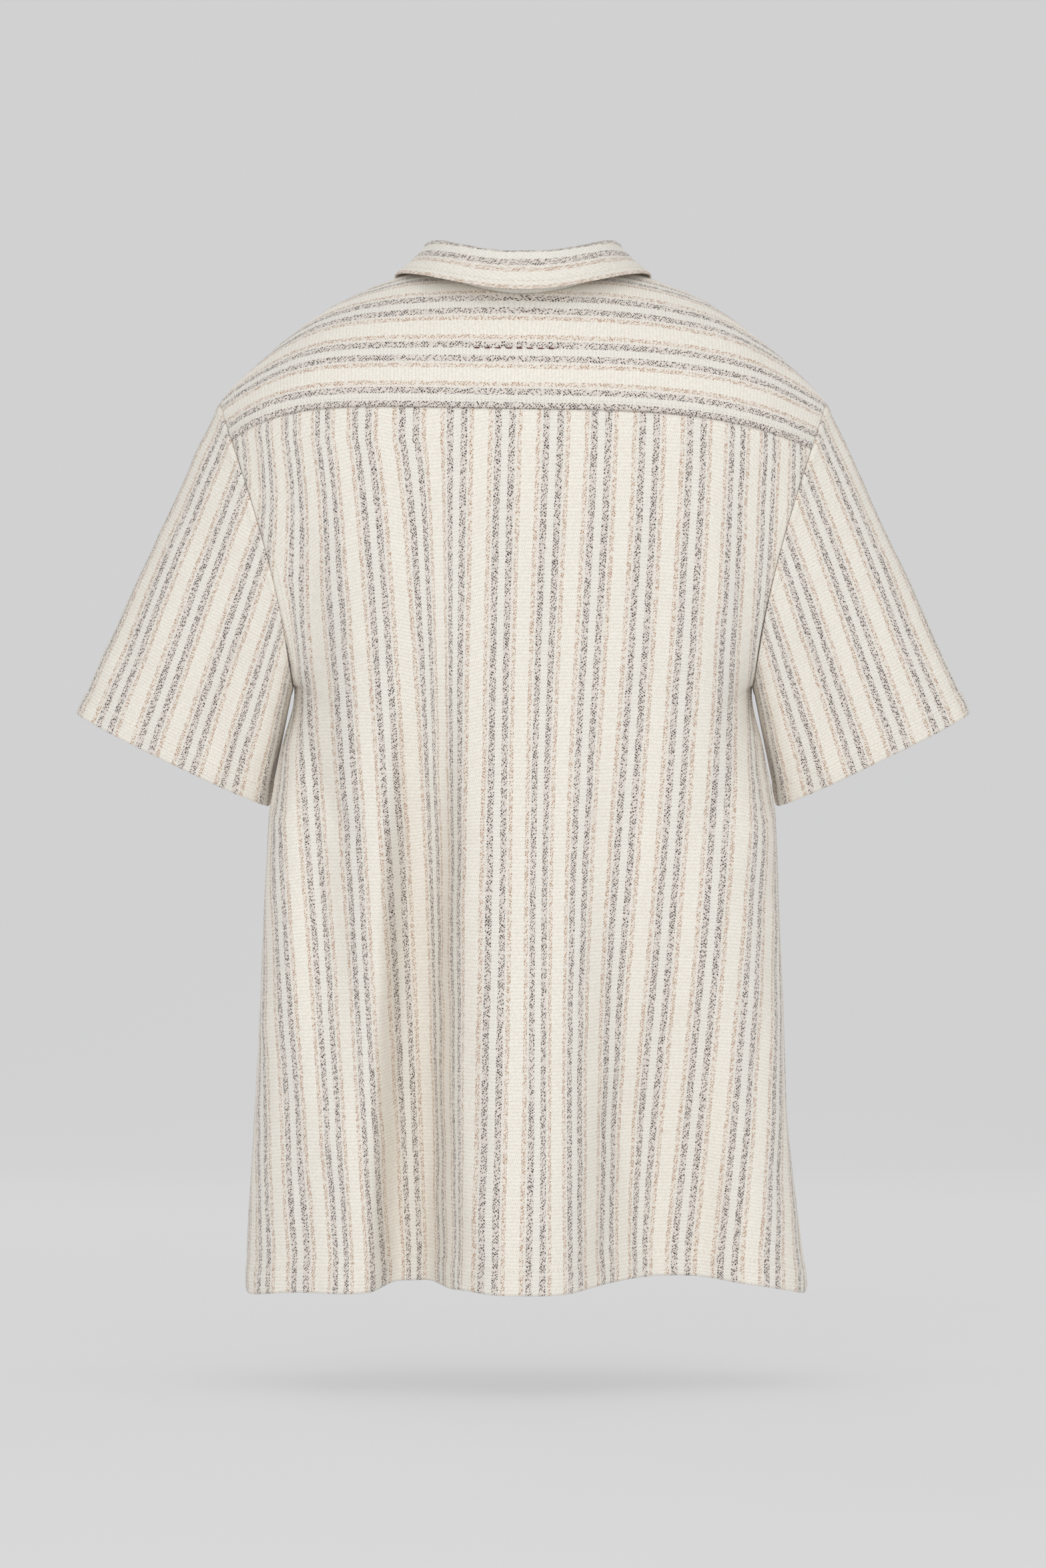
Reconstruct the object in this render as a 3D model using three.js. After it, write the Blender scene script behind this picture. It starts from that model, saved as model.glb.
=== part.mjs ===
import * as THREE from 'three';

// A short-sleeved button shirt of striped cloth, filled out as if worn, with nothing inside it.
// Millimetres. The origin is the middle of the neck at the height of the highest shoulder point.
// +X is the wearer's left, +Y the back and +Z up. Each cut piece is a thin closed wall.

const wall = 1.5;
const seamGap = 0.3;
const halfTurn = Math.PI;
const quarterTurn = Math.PI / 2;

// The neck seam is an ellipse in plan. Its angle is 0 at the middle of the back.
const neck = {
  halfWidth: 72,
  halfDepth: 75,
  frontDrop: 75,
  dropPower: 1.8,
  frontCorner: 1.98,
};

// The armhole angle is 0 at the shoulder tip and half a turn at the underarm, positive at the back.
const armhole = {
  tipX: 217,
  tipZ: -95,
  height: 203,
  underarmX: 165.5,
  flare: 1.6,
  halfDepth: 64,
  roundness: 0.9,
  frontCorner: 0.63,
};

// The shoulder line falls away from the neck, and faster close to its tip.
const shoulder = { neckZ: 7.5, fall: 92.6, fallPower: 2.14, tipFall: 9.9, tipPower: 22 };

// Height of the back yoke seam over the back's width, which runs from -1 to 1.
const yokeSeam = { centreZ: -98, tilt: 3, drop: 26.5, leftPower: 6, rightPower: 3.5 };
const yokeFront = { middleDrop: 15, slopePower: 1.8, cornerShare: 1 / 6, ridgeShare: 1 / 4, tipStart: 0.6 };

// The hem hangs lowest at the side seams, and steps down past the left crease at the back.
const hem = { backZ: -719, frontZ: -723, sideZ: -738.5, power: 6 };
const hemCrease = { drop: 6, start: 0.15, end: 0.4 };
const frontOpening = { overlap: 15, underOffset: 2.3, offsetStart: 22, offsetLength: 24 };

// The body's half widths at each height, to the side seams. Above the underarm they reach past
// the armholes, which cut the panels short there. Just below it the surface reaches beyond the
// seam, and its edge is drawn in to it. edgeY is where the side seam lies.
const bodyWidths = [
  { z: -110, left: 231, right: 231, beyond: 0, edgeY: 0 },
  { z: -150, left: 229, right: 229, beyond: 0, edgeY: 0 },
  { z: -200, left: 212, right: 212, beyond: 0, edgeY: 0 },
  { z: -250, left: 190, right: 190, beyond: 0, edgeY: 1 },
  { z: -298, left: 165.5, right: 165.5, beyond: 14, edgeY: 0 },
  { z: -345, left: 174.5, right: 173.5, beyond: 4, edgeY: 4 },
  { z: -390, left: 182.5, right: 181.5, beyond: 0, edgeY: 7 },
  { z: -470, left: 187, right: 185, beyond: 0, edgeY: 8 },
  { z: -545, left: 190.5, right: 188.5, beyond: 0, edgeY: 8 },
  { z: -622, left: 195, right: 192, beyond: 0, edgeY: 8 },
  { z: -700, left: 200, right: 201.5, beyond: 0, edgeY: 8 },
  { z: -745, left: 201, right: 207, beyond: 0, edgeY: 8 },
];

// How far the back and the fronts stand out at each height. The powers square the section off.
const bodyDepths = [
  { z: -10, back: 70, backPower: 1.9, front: 26, frontPower: 1.8 },
  { z: -40, back: 95, backPower: 1.9, front: 53, frontPower: 1.8 },
  { z: -75, back: 110, backPower: 1.9, front: 75, frontPower: 1.8 },
  { z: -110, back: 117, backPower: 1.9, front: 90, frontPower: 1.8 },
  { z: -150, back: 118, backPower: 1.9, front: 98, frontPower: 1.9 },
  { z: -200, back: 114, backPower: 2.1, front: 103, frontPower: 2 },
  { z: -298, back: 102, backPower: 2.4, front: 106, frontPower: 2.2 },
  { z: -345, back: 97, backPower: 2.5, front: 105, frontPower: 2.3 },
  { z: -390, back: 94, backPower: 2.6, front: 104, frontPower: 2.4 },
  { z: -470, back: 92, backPower: 2.7, front: 102, frontPower: 2.5 },
  { z: -622, back: 90, backPower: 2.8, front: 98, frontPower: 2.6 },
  { z: -745, back: 90, backPower: 2.8, front: 95, frontPower: 2.6 },
];
// How sharply a panel is drawn to its edge, and how close to the edge its folds still show.
const edgeBlend = 14;
const foldReach = 6;
const rowSpread = { upperShare: 0.36, power: 4 };

// Folds that run down the body. Each grows from start to full and fades from ebb to end.
const backFolds = [
  { name: 'middle ridge', xTop: -10, xHem: -2, width: 46, power: 4, depth: 40,
    start: -200, full: -722, ebb: -800, end: -900 },
  { name: 'left crease', xTop: 66, xHem: 80, width: 22, power: 4, depth: -42,
    start: -240, full: -480, ebb: -800, end: -900 },
  { name: 'left ridge', xTop: 125, xHem: 130, width: 26, power: 2, depth: 10,
    start: -430, full: -700, ebb: -800, end: -900 },
  { name: 'armhole groove', xTop: 160, xHem: 128, width: 19, power: 2, depth: -17,
    start: -104, full: -330, ebb: -450, end: -640 },
  { name: 'right trough', xTop: -96, xHem: -108, width: 40, power: 3, depth: -29,
    start: -420, full: -700, ebb: -800, end: -900 },
];
const frontFolds = [
  { name: 'left trough', xTop: 104, xHem: 92, width: 30, power: 3, depth: -24,
    start: -380, full: -680, ebb: -800, end: -900 },
  { name: 'left groove', xTop: 156, xHem: 138, width: 20, power: 2, depth: -12,
    start: -170, full: -330, ebb: -440, end: -620 },
  { name: 'right crease', xTop: -84, xHem: -96, width: 24, power: 4, depth: -32,
    start: -300, full: -560, ebb: -800, end: -900 },
  { name: 'right groove', xTop: -158, xHem: -142, width: 20, power: 2, depth: -10,
    start: -180, full: -300, ebb: -460, end: -640 },
];

// The sleeve's open end, from the underarm corner to the outer corner.
const cuff = { innerX: 184.5, innerZ: -388, outerX: 324, outerZ: -320, y: -20, halfDepth: 35, power: 2.4 };
const sleeveFolds = [
  { name: 'front dent', along: 0.55, around: -1.75, length: 0.3, width: 0.34, depth: -7 },
  { name: 'back dent', along: 0.62, around: 1.95, length: 0.3, width: 0.3, depth: -5 },
];

// The collar's rows give the fold and the leaf's edge at each neck angle, from the neck seam:
// how far out and up the fold lies, and how far out, up and back along the neck the edge lies.
const collar = { foldRadius: 2.6, seat: 0.7, openAngle: 3.11, leafPower: 1.2 };
const collarRows = [
  { angle: 0, foldOut: 3, foldUp: 29, edgeOut: 15, edgeUp: 2, edgeBack: 0 },
  { angle: 0.8, foldOut: -2, foldUp: 25, edgeOut: 18, edgeUp: 1, edgeBack: 0 },
  { angle: 1.57, foldOut: -7, foldUp: 18, edgeOut: 20, edgeUp: -3.5, edgeBack: 0 },
  { angle: 2.2, foldOut: -4, foldUp: 22, edgeOut: 27, edgeUp: -8, edgeBack: 4 },
  { angle: 2.7, foldOut: 0, foldUp: 24, edgeOut: 26, edgeUp: -23, edgeBack: 18 },
  { angle: 3.11, foldOut: 3, foldUp: 24, edgeOut: 17, edgeUp: -32, edgeBack: 36 },
];

const button = {
  count: 6,
  radius: 5.5,
  baseRadius: 5.2,
  thickness: 2.3,
  edgeHeight: 1.85,
  rim: 1.1,
  dish: 0.5,
  lift: 0.55,
  firstZ: -97,
  spacing: 100,
};

// How finely each piece is divided.
const divisions = {
  yokeNeck: 10,
  yokeSide: 18,
  yokeBack: 4,
  yokeFront: 3,
  frontNeck: 6,
  armholeSide: 8,
  sideSeam: 9,
  sleeveLength: 10,
  collarRound: 36,
  stand: 3,
  fold: 4,
  leaf: 4,
  buttonRound: 16,
};
const halfBack = divisions.yokeNeck + divisions.yokeSide;
const bodyRows = divisions.armholeSide + divisions.sideSeam;
const fineSteps = 400;

const cream = new THREE.Color('#ece7d8');
const cloth = new THREE.MeshStandardMaterial({ color: cream, roughness: 0.95, metalness: 0 });
const buttonPlastic = new THREE.MeshStandardMaterial({ color: '#efe9da', roughness: 0.35, metalness: 0 });

const mix = (a, b, t) => a + (b - a) * t;
const clamp = (t) => Math.min(1, Math.max(0, t));
const ease = (t) => clamp(t) ** 2 * (3 - 2 * clamp(t));
const signedPower = (value, power) => Math.sign(value) * Math.abs(value) ** power;

// A value of a table's column between its rows, on a smooth curve through them.
function readTable(rows, keyName, at, column) {
  const rising = rows[rows.length - 1][keyName] > rows[0][keyName];
  const past = rows.findIndex((row) => (rising ? row[keyName] >= at : row[keyName] <= at));
  const high = past < 0 ? rows.length - 1 : Math.max(1, past);
  const pick = (index) => rows[Math.min(rows.length - 1, Math.max(0, index))];
  const [before, low, top, after] = [pick(high - 2), pick(high - 1), pick(high), pick(high + 1)];
  const span = top[keyName] - low[keyName];
  const t = clamp((at - low[keyName]) / span);
  const slope = (a, b) => (b === a ? 0 : ((b[column] - a[column]) / (b[keyName] - a[keyName])) * span);
  const slopeLow = slope(before, top);
  const slopeTop = slope(low, after);
  const t2 = t * t;
  const t3 = t2 * t;
  return (
    (2 * t3 - 3 * t2 + 1) * low[column] +
    (t3 - 2 * t2 + t) * slopeLow +
    (3 * t2 - 2 * t3) * top[column] +
    (t3 - t2) * slopeTop
  );
}
const widthAt = (z, column) => readTable(bodyWidths, 'z', z, column);
const depthAt = (z, column) => readTable(bodyDepths, 'z', z, column);

// Points spread along a fine line at the given fractions of its length.
function spread(line, fractions) {
  const lengths = [0];
  for (let i = 1; i < line.length; i += 1) {
    lengths.push(lengths[i - 1] + line[i].distanceTo(line[i - 1]));
  }
  const total = lengths[lengths.length - 1];
  let index = 1;
  return fractions.map((fraction) => {
    while (index < line.length - 1 && lengths[index] < fraction * total) {
      index += 1;
    }
    const part = (fraction * total - lengths[index - 1]) / (lengths[index] - lengths[index - 1]);
    return line[index - 1].clone().lerp(line[index], clamp(part));
  });
}
const evenFractions = (count) => Array.from({ length: count + 1 }, (_, i) => i / count);

// A fold's push at a place: depth times exp(-|distance / width| ^ power), grown and faded by height.
function foldPush(folds, x, z) {
  return folds.reduce((sum, fold) => {
    const centre = mix(fold.xTop, fold.xHem, clamp((z - fold.start) / (hem.backZ - fold.start)));
    const grown = ease((z - fold.start) / (fold.full - fold.start));
    const faded = ease((z - fold.ebb) / (fold.end - fold.ebb));
    const shape = Math.exp(-(Math.abs((x - centre) / fold.width) ** fold.power));
    return sum + fold.depth * grown * (1 - faded) * shape;
  }, 0);
}

const shoulderZ = (x) =>
  shoulder.neckZ -
  shoulder.fall * Math.abs(x / armhole.tipX) ** shoulder.fallPower -
  shoulder.tipFall * Math.abs(x / armhole.tipX) ** shoulder.tipPower;

const yokeSeamZ = (across) =>
  yokeSeam.centreZ +
  yokeSeam.tilt * across -
  yokeSeam.drop * Math.abs(across) ** (across > 0 ? yokeSeam.leftPower : yokeSeam.rightPower);

function hemZ(across, facing) {
  const step = hemCrease.drop * ease((across - hemCrease.start) / (hemCrease.end - hemCrease.start));
  const middle = facing > 0 ? hem.backZ - step : hem.frontZ;
  return mix(middle, hem.sideZ, Math.abs(across) ** hem.power);
}

function armholePoint(side, angle) {
  const fallen = (1 - Math.cos(angle)) / 2;
  const x = mix(armhole.underarmX, armhole.tipX, (1 - fallen) ** armhole.flare);
  const y = armhole.halfDepth * signedPower(Math.sin(angle), armhole.roundness);
  return new THREE.Vector3(side * x, y, armhole.tipZ - armhole.height * fallen);
}

// The armhole angle at which the back yoke seam meets it.
function backCorner(side) {
  const fallen = (armhole.tipZ - yokeSeamZ(side)) / armhole.height;
  return Math.acos(1 - 2 * fallen);
}

// The edge of a body panel: down the armhole from a corner, then down the side seam.
function panelEdge(side, corner, facing) {
  const points = [];
  for (let i = 0; i < divisions.armholeSide; i += 1) {
    points.push(armholePoint(side, facing * mix(corner, halfTurn, i / divisions.armholeSide)));
  }
  const underarmZ = armhole.tipZ - armhole.height;
  for (let i = 0; i <= divisions.sideSeam; i += 1) {
    const z = mix(underarmZ, hem.sideZ, i / divisions.sideSeam);
    points.push(new THREE.Vector3(side * widthAt(z, side > 0 ? 'left' : 'right'), widthAt(z, 'edgeY'), z));
  }
  return points;
}

const backEdges = { left: panelEdge(1, backCorner(1), 1), right: panelEdge(-1, backCorner(-1), 1) };

// The body's surface, facing the back (1) or the front (-1):
// y = edgeY + (depth - edgeY) (1 - |x / width|^p)^(1/p).
function bodyY(facing, x, z) {
  const names = facing > 0 ? ['back', 'backPower'] : ['front', 'frontPower'];
  const power = depthAt(z, names[1]);
  const width = widthAt(z, x > 0 ? 'left' : 'right') + widthAt(z, 'beyond');
  const rise = Math.max(0, 1 - Math.abs(x / width) ** power) ** (1 / power);
  return mix(widthAt(z, 'edgeY'), facing * depthAt(z, names[0]), rise);
}

// The same surface drawn to the panel's own edge, with the folds' push.
function panelY(facing, x, z, edge, folds) {
  const across = clamp(Math.abs(x / edge.x));
  const drawn = (edge.y - bodyY(facing, edge.x, edge.z)) * across ** edgeBlend;
  const free = Math.sqrt(Math.max(0, 1 - across ** foldReach));
  return bodyY(facing, x, z) + drawn + facing * foldPush(folds, x, z) * free;
}

// How far down a panel a row lies: evenly spaced in the middle, and at its own edge point there.
function shareDown(edges, row, across) {
  const atEdge = (edges[row].z - edges[0].z) / (hem.sideZ - edges[0].z);
  const upper = (rowSpread.upperShare * row) / divisions.armholeSide;
  const lower = mix(rowSpread.upperShare, 1, (row - divisions.armholeSide) / divisions.sideSeam);
  return mix(row < divisions.armholeSide ? upper : lower, atEdge, Math.abs(across) ** rowSpread.power);
}

// One level of the back, from the left edge to the right one.
function backLevel(row) {
  const left = backEdges.left[row];
  const right = backEdges.right[row];
  const line = [];
  for (let i = 0; i <= fineSteps; i += 1) {
    const across = Math.sin(quarterTurn - (halfTurn * i) / fineSteps);
    const edge = across > 0 ? left : right;
    const edges = across > 0 ? backEdges.left : backEdges.right;
    const z = mix(yokeSeamZ(across), hemZ(across, 1), shareDown(edges, row, across));
    const x = across * Math.abs(edge.x);
    line.push(new THREE.Vector3(x, panelY(1, x, z, edge, backFolds), z));
  }
  return spread(line, evenFractions(2 * halfBack));
}

function backGrid() {
  return Array.from({ length: bodyRows + 1 }, (_, row) => backLevel(row));
}

function neckPlan(angle) {
  return new THREE.Vector3(neck.halfWidth * Math.sin(angle), neck.halfDepth * Math.cos(angle), 0);
}

const neckFrontZ = (angle) => -neck.frontDrop * Math.abs(Math.cos(angle)) ** neck.dropPower;

// The front yoke seam, from the neck corner out to the armhole.
function frontSeamPoint(side, part) {
  const corner = armholePoint(side, -armhole.frontCorner);
  const start = neckPlan(neck.frontCorner);
  const x = mix(start.x, Math.abs(corner.x), part);
  const neckDrop = shoulderZ(start.x) - neckFrontZ(neck.frontCorner);
  const drop = mix(neckDrop, shoulderZ(corner.x) - corner.z, part);
  const z = shoulderZ(x) - drop - yokeFront.middleDrop * Math.sin(halfTurn * part);
  const surfaceY = panelY(-1, side * x, z, corner, []);
  const y = mix(start.y, surfaceY, ease(part / yokeFront.cornerShare));
  return part >= 1 ? corner : new THREE.Vector3(side * x, y, z);
}

// Even fractions, drawn so that one row follows the shoulder's ridge where y is 0.
function ridgeFractions(line, rows, weight) {
  const lengths = [0];
  for (let i = 1; i < line.length; i += 1) {
    lengths.push(lengths[i - 1] + line[i].distanceTo(line[i - 1]));
  }
  const total = lengths[lengths.length - 1];
  const past = line.findIndex((point) => point.y <= 0);
  const ridge = past < 0 ? 1 : lengths[past] / total;
  return evenFractions(rows).map((even, row) => {
    const before = (ridge * row) / divisions.yokeBack;
    const after = mix(ridge, 1, (row - divisions.yokeBack) / divisions.yokeFront);
    return mix(even, row <= divisions.yokeBack ? before : after, weight);
  });
}

// The yoke runs up from the back seam and over the shoulder. Its columns end at the neck
// near the middle, and at the front yoke seam nearer the sleeves.
function yokeGrid(seam) {
  const rows = divisions.yokeBack + divisions.yokeFront;
  const column = (index) => {
    const side = index <= halfBack ? 1 : -1;
    const out = Math.abs(index - halfBack);
    const start = seam[index];
    const onNeck = out <= divisions.yokeNeck;
    const neckAngle = side * neck.frontCorner * Math.min(1, out / divisions.yokeNeck);
    const sidePart = (out - divisions.yokeNeck) / divisions.yokeSide;
    const end = onNeck ? neckPlan(neckAngle) : frontSeamPoint(side, sidePart);
    const frontEnd = frontSeamPoint(side, Math.max(0, sidePart));
    const line = [];
    for (let i = 0; i <= fineSteps; i += 1) {
      const part = ease(i / fineSteps);
      const y = mix(start.y, end.y, part);
      const x = mix(start.x, end.x, part ** 2);
      const top = shoulderZ(x);
      const backRound = 1 - Math.sqrt(Math.max(0, 1 - (y / start.y) ** 2));
      const frontRound = Math.abs(y / frontEnd.y) ** yokeFront.slopePower;
      const z = y > 0 ? mix(top, start.z, backRound) : mix(top, frontEnd.z, frontRound);
      line.push(new THREE.Vector3(x, y, z));
    }
    return spread(line, ridgeFractions(line, rows, ease(sidePart / yokeFront.ridgeShare)));
  };
  const columns = Array.from({ length: 2 * halfBack + 1 }, (_, index) => column(index));
  const tips = { left: yokeTip(1), right: yokeTip(-1) };
  const shifts = {
    left: tips.left.map((point, row) => point.clone().sub(columns[0][row])),
    right: tips.right.map((point, row) => point.clone().sub(columns[2 * halfBack][row])),
  };
  return Array.from({ length: rows + 1 }, (_, row) =>
    columns.map((points, index) => {
      const out = Math.abs(index - halfBack) / halfBack;
      const shift = index <= halfBack ? shifts.left[row] : shifts.right[row];
      const weight = ease((out - yokeFront.tipStart) / (1 - yokeFront.tipStart));
      return points[row].clone().addScaledVector(shift, weight);
    }),
  );
}

// The yoke's edge on the armhole, from the back corner over the shoulder tip to the front one.
function yokeTip(side) {
  const points = [];
  for (let i = 0; i <= divisions.yokeBack; i += 1) {
    points.push(armholePoint(side, mix(backCorner(side), 0, i / divisions.yokeBack)));
  }
  for (let i = 1; i <= divisions.yokeFront; i += 1) {
    points.push(armholePoint(side, mix(0, -armhole.frontCorner, i / divisions.yokeFront)));
  }
  return points;
}

// One front, from its edge past the middle out to the armhole and the side seam.
// The right one laps under the left one.
function frontGrid(side) {
  const edges = panelEdge(side, armhole.frontCorner, -1);
  const under = side < 0 ? frontOpening.underOffset : 0;
  const lapEnd = frontOpening.offsetStart + frontOpening.offsetLength;
  const lapOffset = (x) => under * ease((lapEnd - x) / frontOpening.offsetLength);
  const edgeAngle = halfTurn + Math.asin(frontOpening.overlap / neck.halfWidth);
  const top = [];
  for (let i = 0; i < divisions.frontNeck; i += 1) {
    const angle = mix(edgeAngle, neck.frontCorner, i / divisions.frontNeck);
    const plan = neckPlan(angle);
    top.push(new THREE.Vector3(side * plan.x, plan.y + lapOffset(plan.x), neckFrontZ(angle)));
  }
  for (let i = 0; i <= divisions.yokeSide; i += 1) {
    top.push(frontSeamPoint(side, i / divisions.yokeSide));
  }
  const topLengths = [0];
  for (let i = 1; i < top.length; i += 1) {
    topLengths.push(topLengths[i - 1] + top[i].distanceTo(top[i - 1]));
  }
  const topFractions = topLengths.map((length) => length / topLengths[top.length - 1]);
  const topLine = (x) => {
    const past = top.findIndex((point) => side * point.x >= x);
    const high = past < 0 ? top.length - 1 : Math.max(1, past);
    const low = top[high - 1];
    return mix(low.z, top[high].z, clamp((x - side * low.x) / (side * (top[high].x - low.x))));
  };
  const cornerX = side * top[top.length - 1].x;
  const rows = [top];
  for (let row = 1; row <= bodyRows; row += 1) {
    const edge = edges[row];
    const edgeX = Math.abs(edge.x);
    const line = [];
    for (let i = 0; i <= fineSteps; i += 1) {
      const turn = (quarterTurn * i) / fineSteps;
      const x = mix(-frontOpening.overlap, edgeX, Math.sin(turn));
      const across = clamp(x / edgeX);
      const z = mix(topLine(x * (cornerX / edgeX)), hemZ(across, -1), shareDown(edges, row, across));
      const y = panelY(-1, side * x, z, edge, frontFolds) + lapOffset(x);
      line.push(new THREE.Vector3(side * x, y, z));
    }
    const blend = ease((3 * row) / bodyRows);
    const fractions = topFractions.map((fraction, i) => mix(fraction, i / (top.length - 1), blend));
    rows.push(spread(line, fractions));
  }
  return rows;
}

// A sleeve: rings blended from the armhole to the cuff, with a few soft dents.
function sleeveGrid(side) {
  const angles = [];
  const corner = backCorner(side);
  const spans = [
    [0, corner, divisions.yokeBack],
    [corner, halfTurn, divisions.armholeSide],
    [halfTurn, 2 * halfTurn - armhole.frontCorner, divisions.armholeSide],
    [2 * halfTurn - armhole.frontCorner, 2 * halfTurn, divisions.yokeFront],
  ];
  spans.forEach(([from, to, count]) => {
    for (let i = 0; i < count; i += 1) {
      angles.push(mix(from, to, i / count));
    }
  });
  const outer = new THREE.Vector3(side * cuff.outerX, cuff.y, cuff.outerZ);
  const inner = new THREE.Vector3(side * cuff.innerX, cuff.y, cuff.innerZ);
  const centre = outer.clone().add(inner).multiplyScalar(0.5);
  const reach = outer.clone().sub(centre);
  const cuffPoint = (angle) => {
    const out = signedPower(Math.cos(angle), 2 / cuff.power);
    const back = cuff.halfDepth * signedPower(Math.sin(angle), 2 / cuff.power);
    return centre.clone().addScaledVector(reach, out).add(new THREE.Vector3(0, back, 0));
  };
  return Array.from({ length: divisions.sleeveLength + 1 }, (_, row) => {
    const along = row / divisions.sleeveLength;
    return angles.map((angle) => {
      const point = armholePoint(side, angle).lerp(cuffPoint(angle), along);
      const signed = angle > halfTurn ? angle - 2 * halfTurn : angle;
      const push = sleeveFolds.reduce((sum, fold) => {
        const far = ((along - fold.along) / fold.length) ** 2 + ((signed - fold.around) / fold.width) ** 2;
        return sum + fold.depth * Math.exp(-far);
      }, 0);
      point.y += Math.sign(signed) * push * Math.abs(Math.sin(angle));
      return point;
    });
  });
}

// The collar is one wall: up the stand, over the fold and down the leaf.
// Its rows are read from the table at each angle of the neck seam.
function collarGrid() {
  const total = divisions.stand + divisions.fold + divisions.leaf;
  const columns = [];
  for (let i = 0; i <= divisions.collarRound; i += 1) {
    const angle = mix(collar.openAngle, -collar.openAngle, i / divisions.collarRound);
    const side = Math.sign(angle) || 1;
    const read = (name) => readTable(collarRows, 'angle', Math.abs(angle), name);
    const base = neckPlan(angle);
    const out = new THREE.Vector3(
      Math.sin(angle) / neck.halfWidth,
      Math.cos(angle) / neck.halfDepth,
      0,
    ).normalize();
    const round = new THREE.Vector3(-out.y, out.x, 0).multiplyScalar(side);
    base.z = seamHeight(angle) + collar.seat;
    const at = (outward, up, backward = 0) =>
      base.clone()
        .addScaledVector(out, outward)
        .addScaledVector(round, backward)
        .add(new THREE.Vector3(0, 0, up));
    const radius = collar.foldRadius;
    const foldOut = read('foldOut');
    const foldUp = read('foldUp');
    const points = [];
    for (let k = 0; k < divisions.stand; k += 1) {
      const part = k / divisions.stand;
      points.push(at(foldOut * part, (foldUp - radius) * part));
    }
    for (let k = 0; k <= divisions.fold; k += 1) {
      const turn = (halfTurn * k) / divisions.fold;
      points.push(at(foldOut + radius * (1 - Math.cos(turn)), foldUp - radius + radius * Math.sin(turn)));
    }
    for (let k = 1; k <= divisions.leaf; k += 1) {
      const part = k / divisions.leaf;
      const outward = mix(foldOut + 2 * radius, read('edgeOut'), part ** collar.leafPower);
      points.push(at(outward, mix(foldUp - radius, read('edgeUp'), part), read('edgeBack') * part));
    }
    columns.push(points);
  }
  return Array.from({ length: total + 1 }, (_, row) => columns.map((points) => points[row]));
}

// Height of the neck seam: on the yoke at the back, on the fronts past the shoulder.
function seamHeight(angle) {
  const plan = neckPlan(angle);
  if (Math.abs(angle) > neck.frontCorner) {
    return neckFrontZ(angle);
  }
  if (plan.y < 0) {
    const forward = (plan.y / neckPlan(neck.frontCorner).y) ** yokeFront.slopePower;
    return mix(shoulderZ(plan.x), neckFrontZ(neck.frontCorner), forward);
  }
  const seamY = depthAt(yokeSeam.centreZ, 'back');
  const round = 1 - Math.sqrt(1 - (plan.y / seamY) ** 2);
  return mix(shoulderZ(plan.x), yokeSeam.centreZ, round);
}

// Surface directions of a grid of points, from the differences of its neighbours.
function gridNormals(grid, ring) {
  const lastRow = grid.length - 1;
  const width = grid[0].length;
  return grid.map((points, row) =>
    points.map((_, col) => {
      const before = ring ? (col + width - 1) % width : Math.max(0, col - 1);
      const after = ring ? (col + 1) % width : Math.min(width - 1, col + 1);
      const across = points[after].clone().sub(points[before]);
      const down = grid[Math.min(lastRow, row + 1)][col].clone().sub(grid[Math.max(0, row - 1)][col]);
      return across.cross(down).normalize();
    }),
  );
}

const placeKey = (point) => point.toArray().map((value) => value.toFixed(2)).join(' ');

// A wall from a grid. Its edges keep half the seam gap, and where pieces meet at an outward
// angle their ends are mitred, so that the walls behind them don't cross.
function wallGeometry(piece, meeting) {
  const { grid, normals, ring } = piece;
  const lastRow = grid.length - 1;
  const lastCol = grid[0].length - 1;
  const outer = [];
  const inner = [];
  grid.forEach((points, row) => {
    points.forEach((point, col) => {
      const normal = normals[row][col];
      const moved = point.clone();
      const trim = (alongFrom, alongTo, towards) => {
        const inward = alongTo.clone().sub(alongFrom).cross(normal).normalize();
        const sign = Math.sign(inward.dot(towards.clone().sub(point))) || 1;
        moved.addScaledVector(inward, (sign * seamGap) / 2);
      };
      if (row === 0 || row === lastRow) {
        const inside = grid[row === 0 ? 1 : lastRow - 1][col];
        const width = lastCol + 1;
        const before = ring ? (col + width - 1) % width : Math.max(0, col - 1);
        const after = ring ? (col + 1) % width : Math.min(lastCol, col + 1);
        trim(points[before], points[after], inside);
      }
      if (!ring && (col === 0 || col === lastCol)) {
        const inside = points[col === 0 ? 1 : lastCol - 1];
        trim(grid[Math.max(0, row - 1)][col], grid[Math.min(lastRow, row + 1)][col], inside);
      }
      const others = (meeting.get(placeKey(point)) ?? []).filter((entry) => entry.piece !== piece);
      const into = normal.clone();
      others.forEach((entry) => {
        into.addScaledVector(entry.normal, Math.max(0, normal.dot(entry.normal)));
      });
      into.normalize();
      outer.push(moved);
      inner.push(moved.clone().addScaledVector(into, -wall / into.dot(normal)));
    });
  });
  return closeWall(outer, inner, grid.length, grid[0].length, ring);
}

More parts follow.
